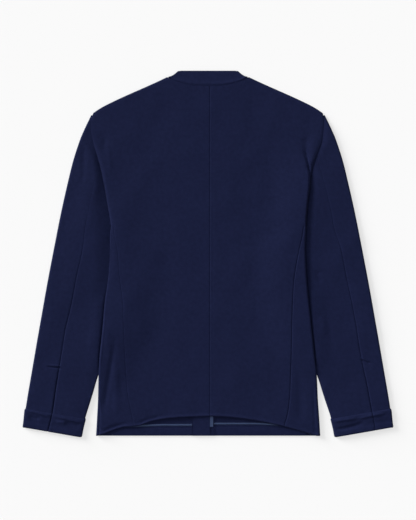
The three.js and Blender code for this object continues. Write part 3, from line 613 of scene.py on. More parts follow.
def row_lengths(points, reference):
    """Arc length along each row, measured from a reference column."""
    steps = np.linalg.norm(np.diff(points, axis=1), axis=2)
    lengths = np.hstack([np.zeros((len(points), 1)), np.cumsum(steps, axis=1)])
    return lengths - lengths[:, reference:reference + 1]


def flip_columns(side_sign, up, *grids):
    """Turns grids round so that the faces of a piece point outwards."""
    if side_sign * up < 0:
        return tuple(None if grid is None else grid[:, ::-1] for grid in grids)
    return grids


def cloth(name, points, grain, wall, keep=None, wall_share=None, smooth=50):
    """A wall of cloth made from a grid of outer points in millimetres.

    grain holds the place of each point on the flat cloth, keep the cells that stay,
    and wall_share the share of the wall's thickness at each point."""
    rows, cols = points.shape[:2]
    deselect()
    bpy.ops.mesh.primitive_grid_add(x_subdivisions=cols - 1, y_subdivisions=rows - 1, size=1)
    piece = bpy.context.object
    piece.name = name
    mesh = piece.data
    start = np.empty(len(mesh.vertices) * 3)
    mesh.vertices.foreach_get("co", start)
    start = start.reshape(-1, 3).round(5)
    order = np.lexsort((start[:, 0], start[:, 1]))
    if keep is not None:
        centre = np.empty(len(mesh.polygons) * 3)
        mesh.polygons.foreach_get("center", centre)
        centre = centre.reshape(-1, 3) + 0.5
        row = (centre[:, 1] * (rows - 1)).astype(int)
        col = (centre[:, 0] * (cols - 1)).astype(int)
        open_cells = ~keep[row, col]
    place = np.empty((rows * cols, 3))
    place[order] = points.reshape(-1, 3) * MM
    mesh.vertices.foreach_set("co", place.ravel())
    on_cloth = np.empty((rows * cols, 2))
    on_cloth[order] = grain.reshape(-1, 2) * MM
    corner = np.empty(len(mesh.loops), int)
    mesh.loops.foreach_get("vertex_index", corner)
    mesh.uv_layers[0].data.foreach_set("uv", on_cloth[corner].ravel())
    if wall_share is not None:
        group = piece.vertex_groups.new(name="wall")
        share = np.empty(rows * cols)
        share[order] = wall_share.ravel()
        for i, weight in enumerate(share):
            group.add([i], float(weight), "REPLACE")
    if keep is not None:
        remove_faces(piece, open_cells)
    mesh.update()
    settings = dict(thickness=wall * MM, offset=-1, use_even_offset=False)
    if wall_share is not None:
        settings["vertex_group"] = "wall"
    apply_modifier(piece, "SOLIDIFY", **settings)
    keep_above_ground(mesh)
    only(piece)
    bpy.ops.object.shade_smooth_by_angle(angle=math.radians(smooth))
    return piece


def keep_above_ground(mesh):
    place = np.empty(len(mesh.vertices) * 3)
    mesh.vertices.foreach_get("co", place)
    place[2::3] = np.maximum(place[2::3], 0)
    mesh.vertices.foreach_set("co", place)
    mesh.update()


def remove_faces(piece, chosen):
    only(piece)
    bpy.ops.object.mode_set(mode="EDIT")
    bpy.ops.mesh.select_mode(type="FACE")
    bpy.ops.mesh.select_all(action="DESELECT")
    bpy.ops.object.mode_set(mode="OBJECT")
    piece.data.polygons.foreach_set("select", chosen)
    bpy.ops.object.mode_set(mode="EDIT")
    bpy.ops.mesh.delete(type="FACE")
    bpy.ops.object.mode_set(mode="OBJECT")


def stack(x, y, z, sign=1):
    return np.stack([x * sign, y, z], axis=2)


def body_rows(top):
    """Row places of the body below the underarm, close together at the hem."""
    hem = near_edge(FRONT_HEM, 1)
    return np.concatenate([hem, spaced(hem[-1] + FINE, top, FINE)])


def back_panel(side):
    """Back: centre-back seam to the side-back seam, the armhole and the shoulder."""
    armhole_rows = spaced(UNDERARM, SHOULDER_TIP - 1, FINE)
    neck_rows = near_edge(NECK_POINT, -1)[4::-1]
    shoulder_rows = np.concatenate([spaced(SHOULDER_TIP, NECK_POINT - 5, FINE), neck_rows])
    y = np.concatenate([body_rows(UNDERARM - SEAM_GAP), armhole_rows, shoulder_rows])
    below = y < UNDERARM
    outer = np.where(below, side.seam(y), np.where(y < SHOULDER_TIP, side.armhole(y), shoulder_x(y)))
    # The halves meet with a hair's overlap, so that no light from the floor comes through.
    middle = np.full_like(y, CENTRE_BACK * side.sign - HALF_GAP)
    reach = across(middle, outer - HALF_GAP, FINE, near_outer=NEAR_ARMHOLE)
    x = reach * side.sign
    row = y[:, None] + 0 * reach
    place = necked(x, arched(x, row), BACK_NECK_DEPTH, BACK_NECK_CURVE)
    full = back_height(side, reach, row) + relief(x, place)
    away = outer[:, None] - HALF_GAP - reach
    rim = mix(side.floor(row), BACK_RIM, eased((row - SHOULDER_TIP + RIM_FADE) / RIM_FADE))
    rim = np.where(below[:, None], full - side.seam_depth, rim)
    armhole_run = mix(UNDERARM_ROLL, ARMHOLE_ROLL, eased((y - UNDERARM - ROLL_FROM) / ROLL_FADE))
    run = np.where(below, SEAM_ROLL, np.where(y < SHOULDER_TIP, armhole_run, SHOULDER_ROLL))[:, None]
    z = mix(rim, full, rolled(away, run))
    z = z - SEAM_DEPTH * (1 - rolled(reach - middle[:, None], SEAM_ROLL))
    z = z + hem_edge(row - FRONT_HEM)
    place[-1] -= HALF_GAP
    points = stack(x, place, z)
    grain = np.stack([row_lengths(points, 0), place], axis=2)
    cells = np.ones((points.shape[0] - 1, points.shape[1] - 1), bool)
    cells[np.count_nonzero(below) - 1] = (reach[0] < UNDERARM_SLIT)[1:]
    points, grain, cells = flip_columns(side.sign, 1, points, grain, cells)
    return cloth("back_" + side.name + "_cloth", points, grain, WALL, keep=cells)


def side_panel(side):
    """Side: the side-back seam, round the side fold, to the side-front seam underneath."""
    y = body_rows(UNDERARM - SEAM_GAP)
    seam = side.seam(y) + HALF_GAP
    start = side.fold(y) - FOLD_RUN
    top_reach = across(seam, start, FINE)
    row = y[:, None] + 0 * top_reach
    x = top_reach * side.sign
    top_place = arched(x, row)
    top_z = back_height(side, top_reach, row) + relief(x, top_place)
    top_z = top_z - side.seam_depth * (1 - rolled(top_reach - seam[:, None], SEAM_ROLL))
    high = top_z[:, -1:]
    low = body_lift(side, start, y)[:, None]
    turn = np.linspace(0, math.pi, FOLD_STEPS + 1)[None, 1:]
    fold_reach = start[:, None] + FOLD_RUN * np.sin(turn)
    topward = (1 + np.cos(turn)) / 2
    fold_row = y[:, None] + 0 * fold_reach
    fold_place = mix(fold_row, arched(fold_reach * side.sign, fold_row), topward)
    fold_z = mix(low, high, topward)
    end = side.seam(y) - SIDE_FRONT_INSET + HALF_GAP
    under_reach = across(end, start, COARSE, NEAR_SEAM[:1], NEAR_SEAM[:1])[:, -2::-1]
    under_row = y[:, None] + 0 * under_reach
    under_z = body_lift(side, under_reach, under_row)
    reach = np.hstack([top_reach, fold_reach, under_reach])
    place = np.hstack([top_place, fold_place, under_row])
    z = np.hstack([top_z, fold_z, under_z])
    hem_away = np.hstack([row, fold_row, under_row]) - FRONT_HEM
    upper = np.hstack([np.ones_like(top_z), topward + 0 * fold_z, np.zeros_like(under_z)])
    z = z + upper * hem_edge(hem_away)
    points = stack(reach * side.sign, place, z)
    grain = np.stack([row_lengths(points, 0), place], axis=2)
    points, grain = flip_columns(side.sign, 1, points, grain)
    return cloth("side_" + side.name + "_cloth", points, grain, WALL)


def lap_zone(y):
    return eased((y - LAP_FROM) / LAP_FADE) * eased((LAP_TOP + LAP_FADE - y) / LAP_FADE)


def front_inner_columns(side):
    """Places of a front's own edge, close together where it climbs over the other front."""
    if side.sign > 0:
        level = spaced(RIGHT_EDGE, LAP_CLIMB, COARSE)
        climb = spaced(LAP_CLIMB + 1, LAP_CLIMB + LAP_RAMP, 1)
    else:
        level = spaced(-LEFT_EDGE, LAP_INSIDE - LAP_INNER_RAMP, COARSE)
        climb = spaced(LAP_INSIDE - LAP_INNER_RAMP + 1, LAP_INSIDE, 1)
    return np.concatenate([level, climb])


def front_reach(side, outer):
    own = front_inner_columns(side)
    rest = across(np.full_like(outer, own[-1]), outer, COARSE, NEAR_SEAM[:1], NEAR_SEAM[::2])[:, 1:]
    return np.hstack([np.repeat(own[None, :], len(outer), axis=0), rest])


def front_panel(side):
    """Front: the side-front seam, armhole and shoulder to its own edge in the lap."""
    hem = np.concatenate([near_edge(FRONT_HEM, 1)[::2], spaced(FRONT_HEM + 5, FRONT_HEM + 75, FINE)])
    lower = np.concatenate([hem, spaced(hem[-1] + COARSE, UNDERARM - SEAM_GAP, COARSE)])
    y = np.concatenate([
        lower,
        spaced(UNDERARM, SHOULDER_TIP - 2, COARSE),
        spaced(SHOULDER_TIP, NECK_POINT, COARSE),
    ])
    below = y < UNDERARM
    outer = np.where(y < SHOULDER_TIP, front_armhole(side, y), shoulder_x(y))
    outer = np.where(below, side.seam(y) - SIDE_FRONT_INSET, outer) - HALF_GAP
    reach = front_reach(side, outer)
    x = reach * side.sign
    row = y[:, None] + 0 * reach
    place = necked(x, row, FRONT_NECK_DEPTH, FRONT_NECK_CURVE)
    zone = lap_zone(place)
    under = np.maximum(WALL + (LAP_THICK - WALL) * zone, np.where(place > 0, COLLAR_WALL, WALL))
    over = (under + LAYER_GAP) * eased((LAP_CLIMB + LAP_RAMP - reach) / LAP_RAMP) if side.sign > 0 else 0
    at_shoulder = (y >= SHOULDER_TIP)[:, None]
    edge = np.where(at_shoulder, FRONT_RIM * (1 - rolled(outer[:, None] - reach, SHOULDER_ROLL)), 0)
    z = over + body_lift(side, reach, row) + edge
    place[-1] -= HALF_GAP
    points = stack(x, place, z)
    grain = np.stack([row_lengths(points, 0), place], axis=2)
    if side.sign > 0:
        points, grain = flip_columns(side.sign, -1, points, grain)
        return cloth("front_right_cloth", points, grain, WALL)
    in_lap = eased((x + LAP_INSIDE) / LAP_INNER_RAMP)
    share = (WALL + (LAP_THICK - WALL) * in_lap * zone) / LAP_THICK
    points, grain, share = flip_columns(side.sign, -1, points, grain, share)
    return cloth("front_left_cloth", points, grain, LAP_THICK, wall_share=share)


class SleeveRows:
    """Sleeve rows from the outer fold to the inner one, tilted more and more towards the cuff."""

    def __init__(self, side, y, outset=0):
        self.side = side
        self.y = y
        self.capped = y > UNDERARM - 0.1
        self.outer_x = outer_x(y) + outset
        tilt = CUFF_TILT * np.clip((TILT_FROM - y) / (TILT_FROM - CUFF_TOP), 0, 1) ** TILT_CURVE
        inner_y = y.copy()
        for _ in range(8):
            inner_x = side.fold(inner_y) - tuck_at(inner_y) + LAYER_GAP * (inner_y < UNDERARM - LIFT_FADE)
            inner_y = y - tilt * (self.outer_x - outset - inner_x)
        seam = side.armhole(y) + HALF_GAP
        self.inner_y = np.where(self.capped, y, inner_y)
        self.inner_x = np.where(self.capped, seam, inner_x - outset)
        self.under_x = np.where(self.capped, front_armhole(side, y) + HALF_GAP, self.inner_x)
        self.width = self.outer_x - self.inner_x

    def elbow_share(self):
        """Share of each row, from the outer fold, at which the elbow seam crosses it."""
        share = np.full_like(self.y, 0.5)
        for _ in range(8):
            y = mix(self.y, self.inner_y, share)
            share = np.clip((self.outer_x - self.side.elbow(y)) / self.width, 0, 1)
        return share

    def clear_distance(self):
        """Distance in X from the outer fold at which each row meets the body's side."""
        distance = self.width.copy()
        for _ in range(4):
            y = mix(self.y, self.inner_y, distance / self.width)
            body = np.maximum(self.side.fold(y), self.inner_x)
            distance = np.where(self.capped, self.width, self.outer_x - body)
        return distance

    def place(self, share):
        """Places on the upper layer at shares of the rows."""
        x = mix(self.outer_x[:, None], self.inner_x[:, None], share)
        y = mix(self.y[:, None], self.inner_y[:, None], share)
        return x, y

    def height(self, x, y):
        """Outer height of the upper layer."""
        side = self.side
        inner = self.inner_x[:, None]
        away = x - np.where(self.capped[:, None], inner, np.maximum(inner, side.fold(y)))
        floor = mix(side.floor(y), SLEEVE_TUCKED, eased((-away - 1) / TUCK_CLIMB))
        lip = side.lip(y)
        slope = np.sin(np.clip(away / side.run(y), 0, 1) * math.pi / 2)
        climb = lip * rolled(away - LIP_START, LIP_RUN) + (1 - lip) * slope
        past_elbow = (x - side.elbow(y)) / (0.9 * (self.outer_x[:, None] - side.elbow(y)))
        crown = SLEEVE_CROWN + side.ridge(y) * (1 - eased(past_elbow))
        puff = side.puff(y) * rolled(away, PUFF_RUN) * (1 - eased((away - PUFF_RUN) / PUFF_FADE))
        fade = eased((away - 1) / 8)
        height = mix(floor, crown, climb) + puff + relief(x * side.sign, y) * fade
        return height * (1 - CAP_DROP * eased((y - CAP_TOP + 15) / 15))

    def top(self, share):
        x, y = self.place(share)
        return np.stack([x, y, self.height(x, y)], axis=2)

    def under(self, share):
        x = mix(self.outer_x[:, None], self.under_x[:, None], share)
        y = mix(self.y[:, None], self.inner_y[:, None], share)
        return np.stack([x, y, 0 * x], axis=2)

    def fold(self, share, run, outward):
        """Half-round fold at an end of the rows, from the upper layer to the lower."""
        top = self.top(share)
        turn = np.linspace(0, math.pi, FOLD_STEPS + 1)[None, 1:]
        x = top[:, :, 0] + outward * run * np.sin(turn)
        y = top[:, :, 1] + 0 * turn
        z = top[:, :, 2] * (1 + np.cos(turn)) / 2
        return np.stack([x, y, z], axis=2)


def sleeve_stations(top):
    upper = spaced(top, UNDERARM + 1, FINE)
    lower = spaced(UNDERARM, MARK_ROWS[0] + FINE, FINE)
    marks = spaced(*MARK_ROWS, MARK_STEP)
    wrist = spaced(MARK_ROWS[1] - FINE, CUFF_TOP + 5, FINE)
    return np.concatenate([upper, lower, marks, wrist, near_edge(CUFF_TOP, 1)[4::-1]])


def elbow_ditch(side, y, distance):
    return side.elbow_ditch(y)[:, None] * (1 - rolled(distance, ELBOW_ROLL))


def top_sleeve(side):
    """Top sleeve: elbow seam or armhole, round the outer fold, to the front seam underneath."""
    rows = SleeveRows(side, sleeve_stations(CAP_TOP))
    width = rows.width
    run = np.minimum(FOLD_RUN, 0.55 * width)
    whole = rows.y > side.elbow_top
    start = np.where(whole, width, rows.elbow_share() * width - HALF_GAP - side.vent_open(rows.y))
    distance = across(run, start, FINE, near_inner=NEAR_SEAM[:1])[:, ::-1]
    top = rows.top(distance / width[:, None])
    top[:, :, 2] -= np.where(whole[:, None], 0, elbow_ditch(side, rows.y, start[:, None] - distance))
    fold = rows.fold((run / width)[:, None], run[:, None], 1)
    low_start = run / (rows.outer_x - rows.under_x)
    low_end = front_seam_share(rows.y) - HALF_GAP / width
    under = rows.under(mix(low_start[:, None], low_end[:, None], np.linspace(0, 1, 13)[None, 1:]))
    points = np.concatenate([top, fold, under], axis=1)
    reference = distance.shape[1] + FOLD_STEPS // 2
    return sleeve_cloth(side, "top_sleeve_" + side.name + "_cloth", points, -1, reference)


def front_seam_share(y):
    return 1 - FRONT_SEAM_SWING * eased((FRONT_SEAM_START - y) / FRONT_SEAM_FADE)


def sleeve_cloth(side, name, points, up, reference, keep=None):
    points[:, :, 0] *= side.sign
    along = np.linalg.norm(np.diff(points[:, reference], axis=0), axis=1)
    length = np.concatenate([[0], np.cumsum(along)])[:, None] + 0 * points[:, :, 0]
    grain = np.stack([row_lengths(points, reference), length], axis=2)
    points, grain, keep = flip_columns(side.sign, up, points, grain, keep)
    return cloth(name, points, grain, WALL, keep=keep)


def under_sleeve(side):
    """Under sleeve: elbow seam, round the inner fold, to the front seam underneath.

    Above the underarm the fold is open, because the armhole is there."""
    rows = SleeveRows(side, sleeve_stations(side.elbow_top - 2))
    width = rows.width
    closed = rows.y <= UNDERARM
    start = rows.elbow_share() * width + HALF_GAP + side.vent_open(rows.y)
    end = np.where(closed, width - FOLD_RUN, width)
    valley = np.minimum(rows.clear_distance() + VALLEY_UNDER, end - 2)
    shown = across(start, valley, FINE, near_outer=NEAR_VALLEY)
    hidden = mix(valley[:, None], end[:, None], np.linspace(0, 1, 7)[None, 1:])
    distance = np.hstack([shown, hidden])
    top = rows.top(distance / width[:, None])
    top[:, :, 2] -= elbow_ditch(side, rows.y, distance - start[:, None])
    fold = rows.fold((end / width)[:, None], FOLD_RUN, -1)
    fold_share = np.where(closed, end / width, 1)[:, None]
    low_end = (front_seam_share(rows.y) + HALF_GAP / width)[:, None]
    under = rows.under(mix(fold_share, low_end, np.linspace(0, 1, 13)[None, 1:]))
    fold[~closed, -1] = rows.under(np.ones((len(width), 1)))[~closed, 0]
    points = np.concatenate([top, fold, under], axis=1)
    cells = np.ones((points.shape[0] - 1, points.shape[1] - 1), bool)
    fold_from = distance.shape[1] - 1
    cells[~(closed[:-1] | closed[1:]), fold_from:fold_from + FOLD_STEPS] = False
    unseamed = np.maximum(rows.y[:-1], rows.y[1:]) > FRONT_SEAM_START - 6
    cells[unseamed, fold_from + FOLD_STEPS:] = False
    return sleeve_cloth(side, "under_sleeve_" + side.name + "_cloth", points, 1, 0, cells)


# How proud of the sleeve the cuff stands down its depth, and how its upper side rises and dips.
CUFF_PROFILE = table(
    "step proud rise",
    (0, 0.3, -0.5),
    (0.03, 0.8, 0.1),
    (0.08, 1, 0.5),
    (0.16, 1, 0.3),
    (0.3, 0.95, 0.1),
    (0.48, 0.85, 0),
    (0.58, 0.8, -0.45),
    (0.66, 0.8, -0.4),
    (0.78, 0.88, 0.1),
    (0.92, 0.95, 0.2),
    (0.97, 0.8, -0.1),
    (1, 0.45, -0.7),
)


def cuff(side):
    """Cuff: a band round the sleeve's end, a little prouder than it, open at the vent line."""
    start_steps = [0, 0.012, 0.03, 0.055, 0.085]
    end_steps = [0.95, 0.972, 0.988, 1]
    step = np.concatenate([start_steps, np.linspace(0.12, 0.92, 20), end_steps])
    proud = np.interp(step, CUFF_PROFILE["step"], CUFF_PROFILE["proud"])
    rise = np.interp(step, CUFF_PROFILE["step"], CUFF_PROFILE["rise"])
    y = mix(CUFF_TOP - SEAM_GAP, CUFF_END, step)
    rows = SleeveRows(side, y, CUFF_OUTSET * proud)
    width = rows.width
    vent = rows.elbow_share() * width
    half_open = HALF_GAP + side.vent_open(y)
    run = np.full_like(width, FOLD_RUN)
    outer_part = across(run, vent - half_open, FINE, near_inner=NEAR_SEAM[:1])[:, ::-1]
    outer_top = rows.top(outer_part / width[:, None])
    outer_top[:, :, 2] += rise[:, None] - elbow_ditch(side, y, vent[:, None] - outer_part)
    inner_part = across(vent + half_open, width - run, FINE, near_outer=NEAR_SEAM[:1])[:, ::-1]
    inner_top = rows.top(inner_part / width[:, None])
    inner_top[:, :, 2] += rise[:, None] - elbow_ditch(side, y, inner_part - vent[:, None])
    run_share = (run / width)[:, None]
    outer_fold = rows.fold(run_share, FOLD_RUN, 1)
    inner_fold = rows.fold(1 - run_share, FOLD_RUN, -1)[:, ::-1]
    middle = rows.under(mix(run_share, 1 - run_share, np.linspace(0, 1, 21)[None, 1:-1]))
    bend = (1 + np.cos(np.linspace(0, math.pi, FOLD_STEPS + 1)[1:])) / 2
    outer_fold[:, :, 2] += rise[:, None] * bend
    inner_fold[:, :, 2] += rise[:, None] * bend[::-1]
    points = np.concatenate([outer_top, outer_fold, middle, inner_fold, inner_top], axis=1)
    points[:, :, 2] *= (1 + CUFF_RISE * proud / SLEEVE_CROWN)[:, None]
    reference = outer_part.shape[1] + FOLD_STEPS // 2
    return sleeve_cloth(side, "cuff_" + side.name + "_cloth", points, -1, reference)


# The collar: where its front end turns to the corner, its seam's ridge as shares of its height, and the
# direction in which its end folds bulge.
COLLAR_TURN_FROM = 58
COLLAR_TURN_RUN = 20
RIDGE_RISE = 0.14
RIDGE_FALL = 0.22
COLLAR_FOLD_WAY = (0.54, 0.84)


def collar():
    """Stand collar: one band from front edge to front edge, folded flat at both sides of the neck."""
    t = np.concatenate([[0, 0.02, 0.045, 0.08, 0.12, 0.17], np.linspace(0.24, 0.94, 11), [0.97, 0.99, 1]])

    def front_seam(x):
        return np.array([x, necked(x, NECK_POINT, FRONT_NECK_DEPTH, FRONT_NECK_CURVE) + HALF_GAP])

    def front_column(x, lift):
        sign = 1 if x >= 0 else -1
        seam = front_seam(x)
        along = front_seam(x - sign * 0.5) - seam
        along = along / np.linalg.norm(along)
        inward = np.array([along[1] * -sign, along[0] * sign])
        if inward[1] < 0:
            inward = -inward
        plain = seam + inward * COLLAR_HEIGHT
        corner = np.array([sign * (COLLAR_CORNER - 3), COLLAR_TOP - 4])
        top = mix(plain, corner, eased((abs(x) - COLLAR_TURN_FROM) / COLLAR_TURN_RUN))
        place = mix(seam[None, :], top[None, :], t[:, None])
        return np.column_stack([place, np.full_like(t, lift)])

    def back_column(share):
        x = mix(NECK_HALF - COLLAR_FOLD_INSET, COLLAR_CORNER - COLLAR_FOLD_INSET, t) * share
        slope = eased((abs(share) - COLLAR_SLOPE_FROM) / (1 - COLLAR_SLOPE_FROM))
        neck = necked(x, NECK_POINT, BACK_NECK_DEPTH, BACK_NECK_CURVE)
        seam = neck - COLLAR_SEWN_OVER + COLLAR_SEAM_LIFT * slope
        top = COLLAR_TOP - COLLAR_CORNER_DROP * slope
        ridge = COLLAR_RIDGE * eased(t / RIDGE_RISE) * (1 - eased((t - RIDGE_RISE) / RIDGE_FALL))
        sink = COLLAR_SEAM_SINK * (1 - rolled(t * COLLAR_HEIGHT, 2.4))
        top_edge = SEAM_DEPTH * (1 - rolled((1 - t) * COLLAR_HEIGHT, EDGE_ROLL))
        z = mix(BACK_MIDDLE, COLLAR_EDGE_HEIGHT, t) + ridge - sink - top_edge
        return np.column_stack([x, mix(seam, top, t), z])

    def fold_column(sign, k):
        turn = math.pi * k / COLLAR_FOLD_STEPS
        top = back_column(sign)
        low = front_column(sign * (NECK_HALF - COLLAR_FOLD_INSET - 0.5), 0)
        topward = (1 + math.cos(turn)) / 2
        out = COLLAR_FOLD_OUT * math.sin(turn)
        x = mix(low[:, 0], top[:, 0], topward) + sign * COLLAR_FOLD_WAY[0] * out
        y = mix(low[:, 1], top[:, 1], topward) + COLLAR_FOLD_WAY[1] * out
        return np.column_stack([x, y, top[:, 2] * topward])

    def lap_rise(x):
        return (COLLAR_WALL + LAYER_GAP) * eased((LEFT_EDGE + 10 - x) / 9)

    right_front = spaced(RIGHT_EDGE, NECK_HALF - 7, 3)
    left_front = spaced(NECK_HALF - 7, -LEFT_EDGE, 3)
    columns = [front_column(x, lap_rise(x)) for x in right_front]
    columns += [fold_column(1, k) for k in range(COLLAR_FOLD_STEPS, -1, -1)]
    columns += [back_column(share) for share in np.linspace(1, -1, COLLAR_BACK_STEPS + 1)[1:-1]]
    columns += [fold_column(-1, k) for k in range(COLLAR_FOLD_STEPS + 1)]
    columns += [front_column(-x, 0) for x in left_front]
    points = np.stack(columns, axis=1)[:, ::-1]
    middle = points.shape[1] // 2
    grain = np.stack([row_lengths(points, middle), points[:, :, 1]], axis=2)
    return cloth("collar_cloth", points, grain, COLLAR_WALL)


def hem_turn_top(name, x):
    drop = np.maximum(0, np.abs(x) - HEM_DROP_FROM) / HEM_DROP_RUN
    return FRONT_HEM + HEM_TURN[name] - HEM_TURN_DROP * drop


def right_inside(x):
    """Inner surface of the right front where it climbs over the left one near the hem."""
    return WALL + (WALL + LAYER_GAP) * eased((LAP_CLIMB + LAP_RAMP - x) / LAP_RAMP)


def strip(name, x, lower, upper, floor, wall, profile):
    """A strip of trim on a front's inside, whose profile gives the share of its height at shares across."""
    share = np.array(profile)[:, 0]
    height = np.array(profile)[:, 1]
    low = lower + 0 * x
    high = upper + 0 * x
    place = mix(low[None, :], high[None, :], share[:, None])
    z = (floor + 0 * x)[None, :] + LAYER_GAP + wall * height[:, None]
    points = stack(x[None, :] + 0 * place, place, z)
    grain = np.stack([x[None, :] + 0 * place, row_lengths(points.transpose(1, 0, 2), 0).T], axis=2)
    return cloth(name, points, grain, TRIM_CLOTH * wall)


# Profiles of the trim: the share of its height at shares of its width.
TURNED_EDGE = [
    (0, 0.55), (0.03, 0.85), (0.08, 1), (0.3, 1.08), (0.6, 1.04),
    (0.78, 0.94), (0.8, 0.86), (0.82, 0.94), (1, 1),
]
TAPE_ROUND = [
    (0, 0.4), (0.05, 0.6), (0.14, 0.8), (0.3, 0.96), (0.5, 1.02),
    (0.7, 0.96), (0.86, 0.8), (0.95, 0.6), (1, 0.4),
]
TAPE_FLAT = [(i / 20, 1) for i in range(21)]


def trim():
    """Turned hems, the right front's facing, and the binding on their raw edges."""
    left = spaced(-TRIM_SIDE, RIGHT_EDGE - 1, FINE)
    climb = spaced(LAP_CLIMB + 3.6, LAP_CLIMB + LAP_RAMP, 1)
    right = np.concatenate([climb, spaced(LAP_CLIMB + 11, TRIM_SIDE, FINE)])
    facing = spaced(RIGHT_EDGE + TRIM_INSET, FACING_RIGHT, 2.4)
    edge = spaced(FACING_RIGHT + LAYER_GAP, FACING_RIGHT + LAYER_GAP + FACING_BINDING, 0.8)
    hem = FRONT_HEM + TRIM_INSET
    tape = TRIM_WALL + BINDING_THICKER
    facing_floor = float(right_inside(RIGHT_EDGE))
    pieces = {}
    for name, x, floor in (("left", left, WALL), ("right", right, right_inside(right))):
        turn = hem_turn_top(name, x)
        pieces["hem_" + name] = strip("hem_" + name + "_cloth", x, hem, turn, floor, TRIM_WALL, TURNED_EDGE)
        low = turn + LAYER_GAP
        pieces["binding_hem_" + name] = strip(
            "binding_hem_" + name + "_tape", x, low, low + BINDING, floor, tape, TAPE_ROUND
        )
    pieces["facing_right"] = strip(
        "facing_right_cloth", facing, hem, FACING_TOP, facing_floor, TRIM_WALL, TURNED_EDGE
    )
    foot = FRONT_HEM + FACING_BINDING_FOOT
    pieces["binding_facing"] = strip(
        "binding_facing_tape", edge, foot, FACING_TOP, facing_floor, TRIM_WALL, TAPE_FLAT
    )
    return pieces


class Node:
    """A node socket whose operators add their own maths nodes."""

    def __init__(self, paint, socket):
        self.paint = paint
        self.socket = socket

    def maths(self, operation, *values):
        return self.paint.node("ShaderNodeMath", {"operation": operation}, dict(enumerate(values)))

    def __add__(self, other):
        return self.maths("ADD", self, other)

    def __sub__(self, other):
        return self.maths("SUBTRACT", self, other)

    def __rsub__(self, other):
        return self.maths("SUBTRACT", other, self)

    def __mul__(self, other):
        return self.maths("MULTIPLY", self, other)

    def __truediv__(self, other):
        return self.maths("DIVIDE", self, other)

    def __abs__(self):
        return self.maths("ABSOLUTE", self)

    def part(self):
        return self.maths("FRACT", self)

    def cosine(self):
        return self.maths("COSINE", self)


class Paint:
    """A material and its nodes."""

    def __init__(self, name):
        self.material = bpy.data.materials.new(name)
        self.material.use_nodes = True
        self.tree = self.material.node_tree
        self.tree.nodes.clear()

    def node(self, kind, settings=None, inputs=None, output=0):
        made = self.tree.nodes.new(kind)
        for name, value in (settings or {}).items():
            setattr(made, name, value)
        for name, value in (inputs or {}).items():
            if isinstance(value, Node):
                self.tree.links.new(value.socket, made.inputs[name])
            else:
                made.inputs[name].default_value = value
        return Node(self, made.outputs[output])

    def noise(self, place, scale, detail, roughness=0.5):
        inputs = {"Vector": place, "Scale": scale, "Detail": detail, "Roughness": roughness}
        return self.node("ShaderNodeTexNoise", None, inputs)

    def bump(self, strength, distance, height):
        inputs = {"Strength": strength, "Distance": distance, "Height": height}
        return self.node("ShaderNodeBump", None, inputs)

    def colour_mix(self, share, first, second):
        return self.node(
            "ShaderNodeMix", {"data_type": "RGBA"}, {0: share, 6: first, 7: second}, output=2
        )

    def finish(self, **sockets):
        shader = self.node("ShaderNodeBsdfPrincipled", None, sockets)
        output = self.tree.nodes.new("ShaderNodeOutputMaterial")
        self.tree.links.new(shader.socket, output.inputs["Surface"])
        return self.material


def colour(red, green, blue):
    return (red, green, blue, 1)


WALE = 1.45 * MM
COURSE = 1.1 * MM
# Navy shades of the jersey: the lighter one serves both the random mottling and the painted highlight on the
# raised stitch strands.
KNIT_DARK = colour(0.0062, 0.0092, 0.0350)
KNIT_LIGHT = colour(0.0116, 0.0160, 0.0560)


def knit_material():
    """Fine jersey: columns of stitches along the cloth's length, whose raised strands are painted lighter as
    a painted highlight, with faint mottling.
    """
    paint = Paint("navy_jersey")
    uv = paint.node("ShaderNodeUVMap", {"uv_map": "UVMap"})
    place = paint.node("ShaderNodeSeparateXYZ", None, {0: uv})
    u = place
    v = Node(paint, place.socket.node.outputs[1])
    wale = abs((u / WALE).part() - 0.5)
    strand = 1 - abs(wale * 4 - 1)
    course = ((v / COURSE + wale * 1.7) * (2 * math.pi)).cosine()
    stitch = strand * (course * 0.25 + 0.75)
    cloudy = paint.noise(uv, 130, 5, 0.6)
    fibre = paint.noise(uv, 900, 3, 0.6)
    # The stitch term paints the raised strand tops lighter, a painted highlight; the cloudy and fibre terms
    # are random tone.
    share = stitch * 0.45 + cloudy * 1.3 + fibre * 0.35 - 0.5
    base = paint.colour_mix(share, KNIT_DARK, KNIT_LIGHT)
    bump = paint.bump(0.35, 0.00022, stitch + fibre * 0.7)
    return paint.finish(**{
        "Base Color": base, "Roughness": 0.85, "Normal": bump,
        "Specular IOR Level": 0.06, "Sheen Weight": 0.01, "Sheen Roughness": 0.5,
    })


def tape_material():
    """Steel blue woven binding, with a fine cross rib and a slight sheen."""
    paint = Paint("steel_blue_tape")
    uv = paint.node("ShaderNodeUVMap", {"uv_map": "UVMap"})
    place = paint.node("ShaderNodeSeparateXYZ", None, {0: uv})
    rib = (place / (0.7 * MM) * (2 * math.pi)).cosine() * 0.5 + 0.5
    grain = paint.noise(uv, 700, 3)
    base = paint.colour_mix(rib * 0.5 + grain * 0.5, colour(0.019, 0.034, 0.090), colour(0.037, 0.064, 0.150))
    bump = paint.bump(0.4, 0.00015, rib + grain * 0.4)
    return paint.finish(**{
        "Base Color": base, "Roughness": 0.62, "Normal": bump,
        "Specular IOR Level": 0.25, "Sheen Weight": 0.1,
    })


def button_material():
    """Dark navy moulded button, satin, with a faint cloud."""
    paint = Paint("button_navy")
    place = paint.node("ShaderNodeTexCoord", None, None, output=3)
    cloud = paint.noise(place, 260, 4)
    base = paint.colour_mix(cloud, colour(0.006, 0.007, 0.018), colour(0.014, 0.016, 0.036))
    bump = paint.bump(0.12, 0.0002, cloud)
    return paint.finish(**{"Base Color": base, "Roughness": cloud * 0.15 + 0.28, "Normal": bump})


def dress(piece, material, node):
    piece.data.materials.clear()
    piece.data.materials.append(material)
    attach(piece, "root")
    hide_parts(node)


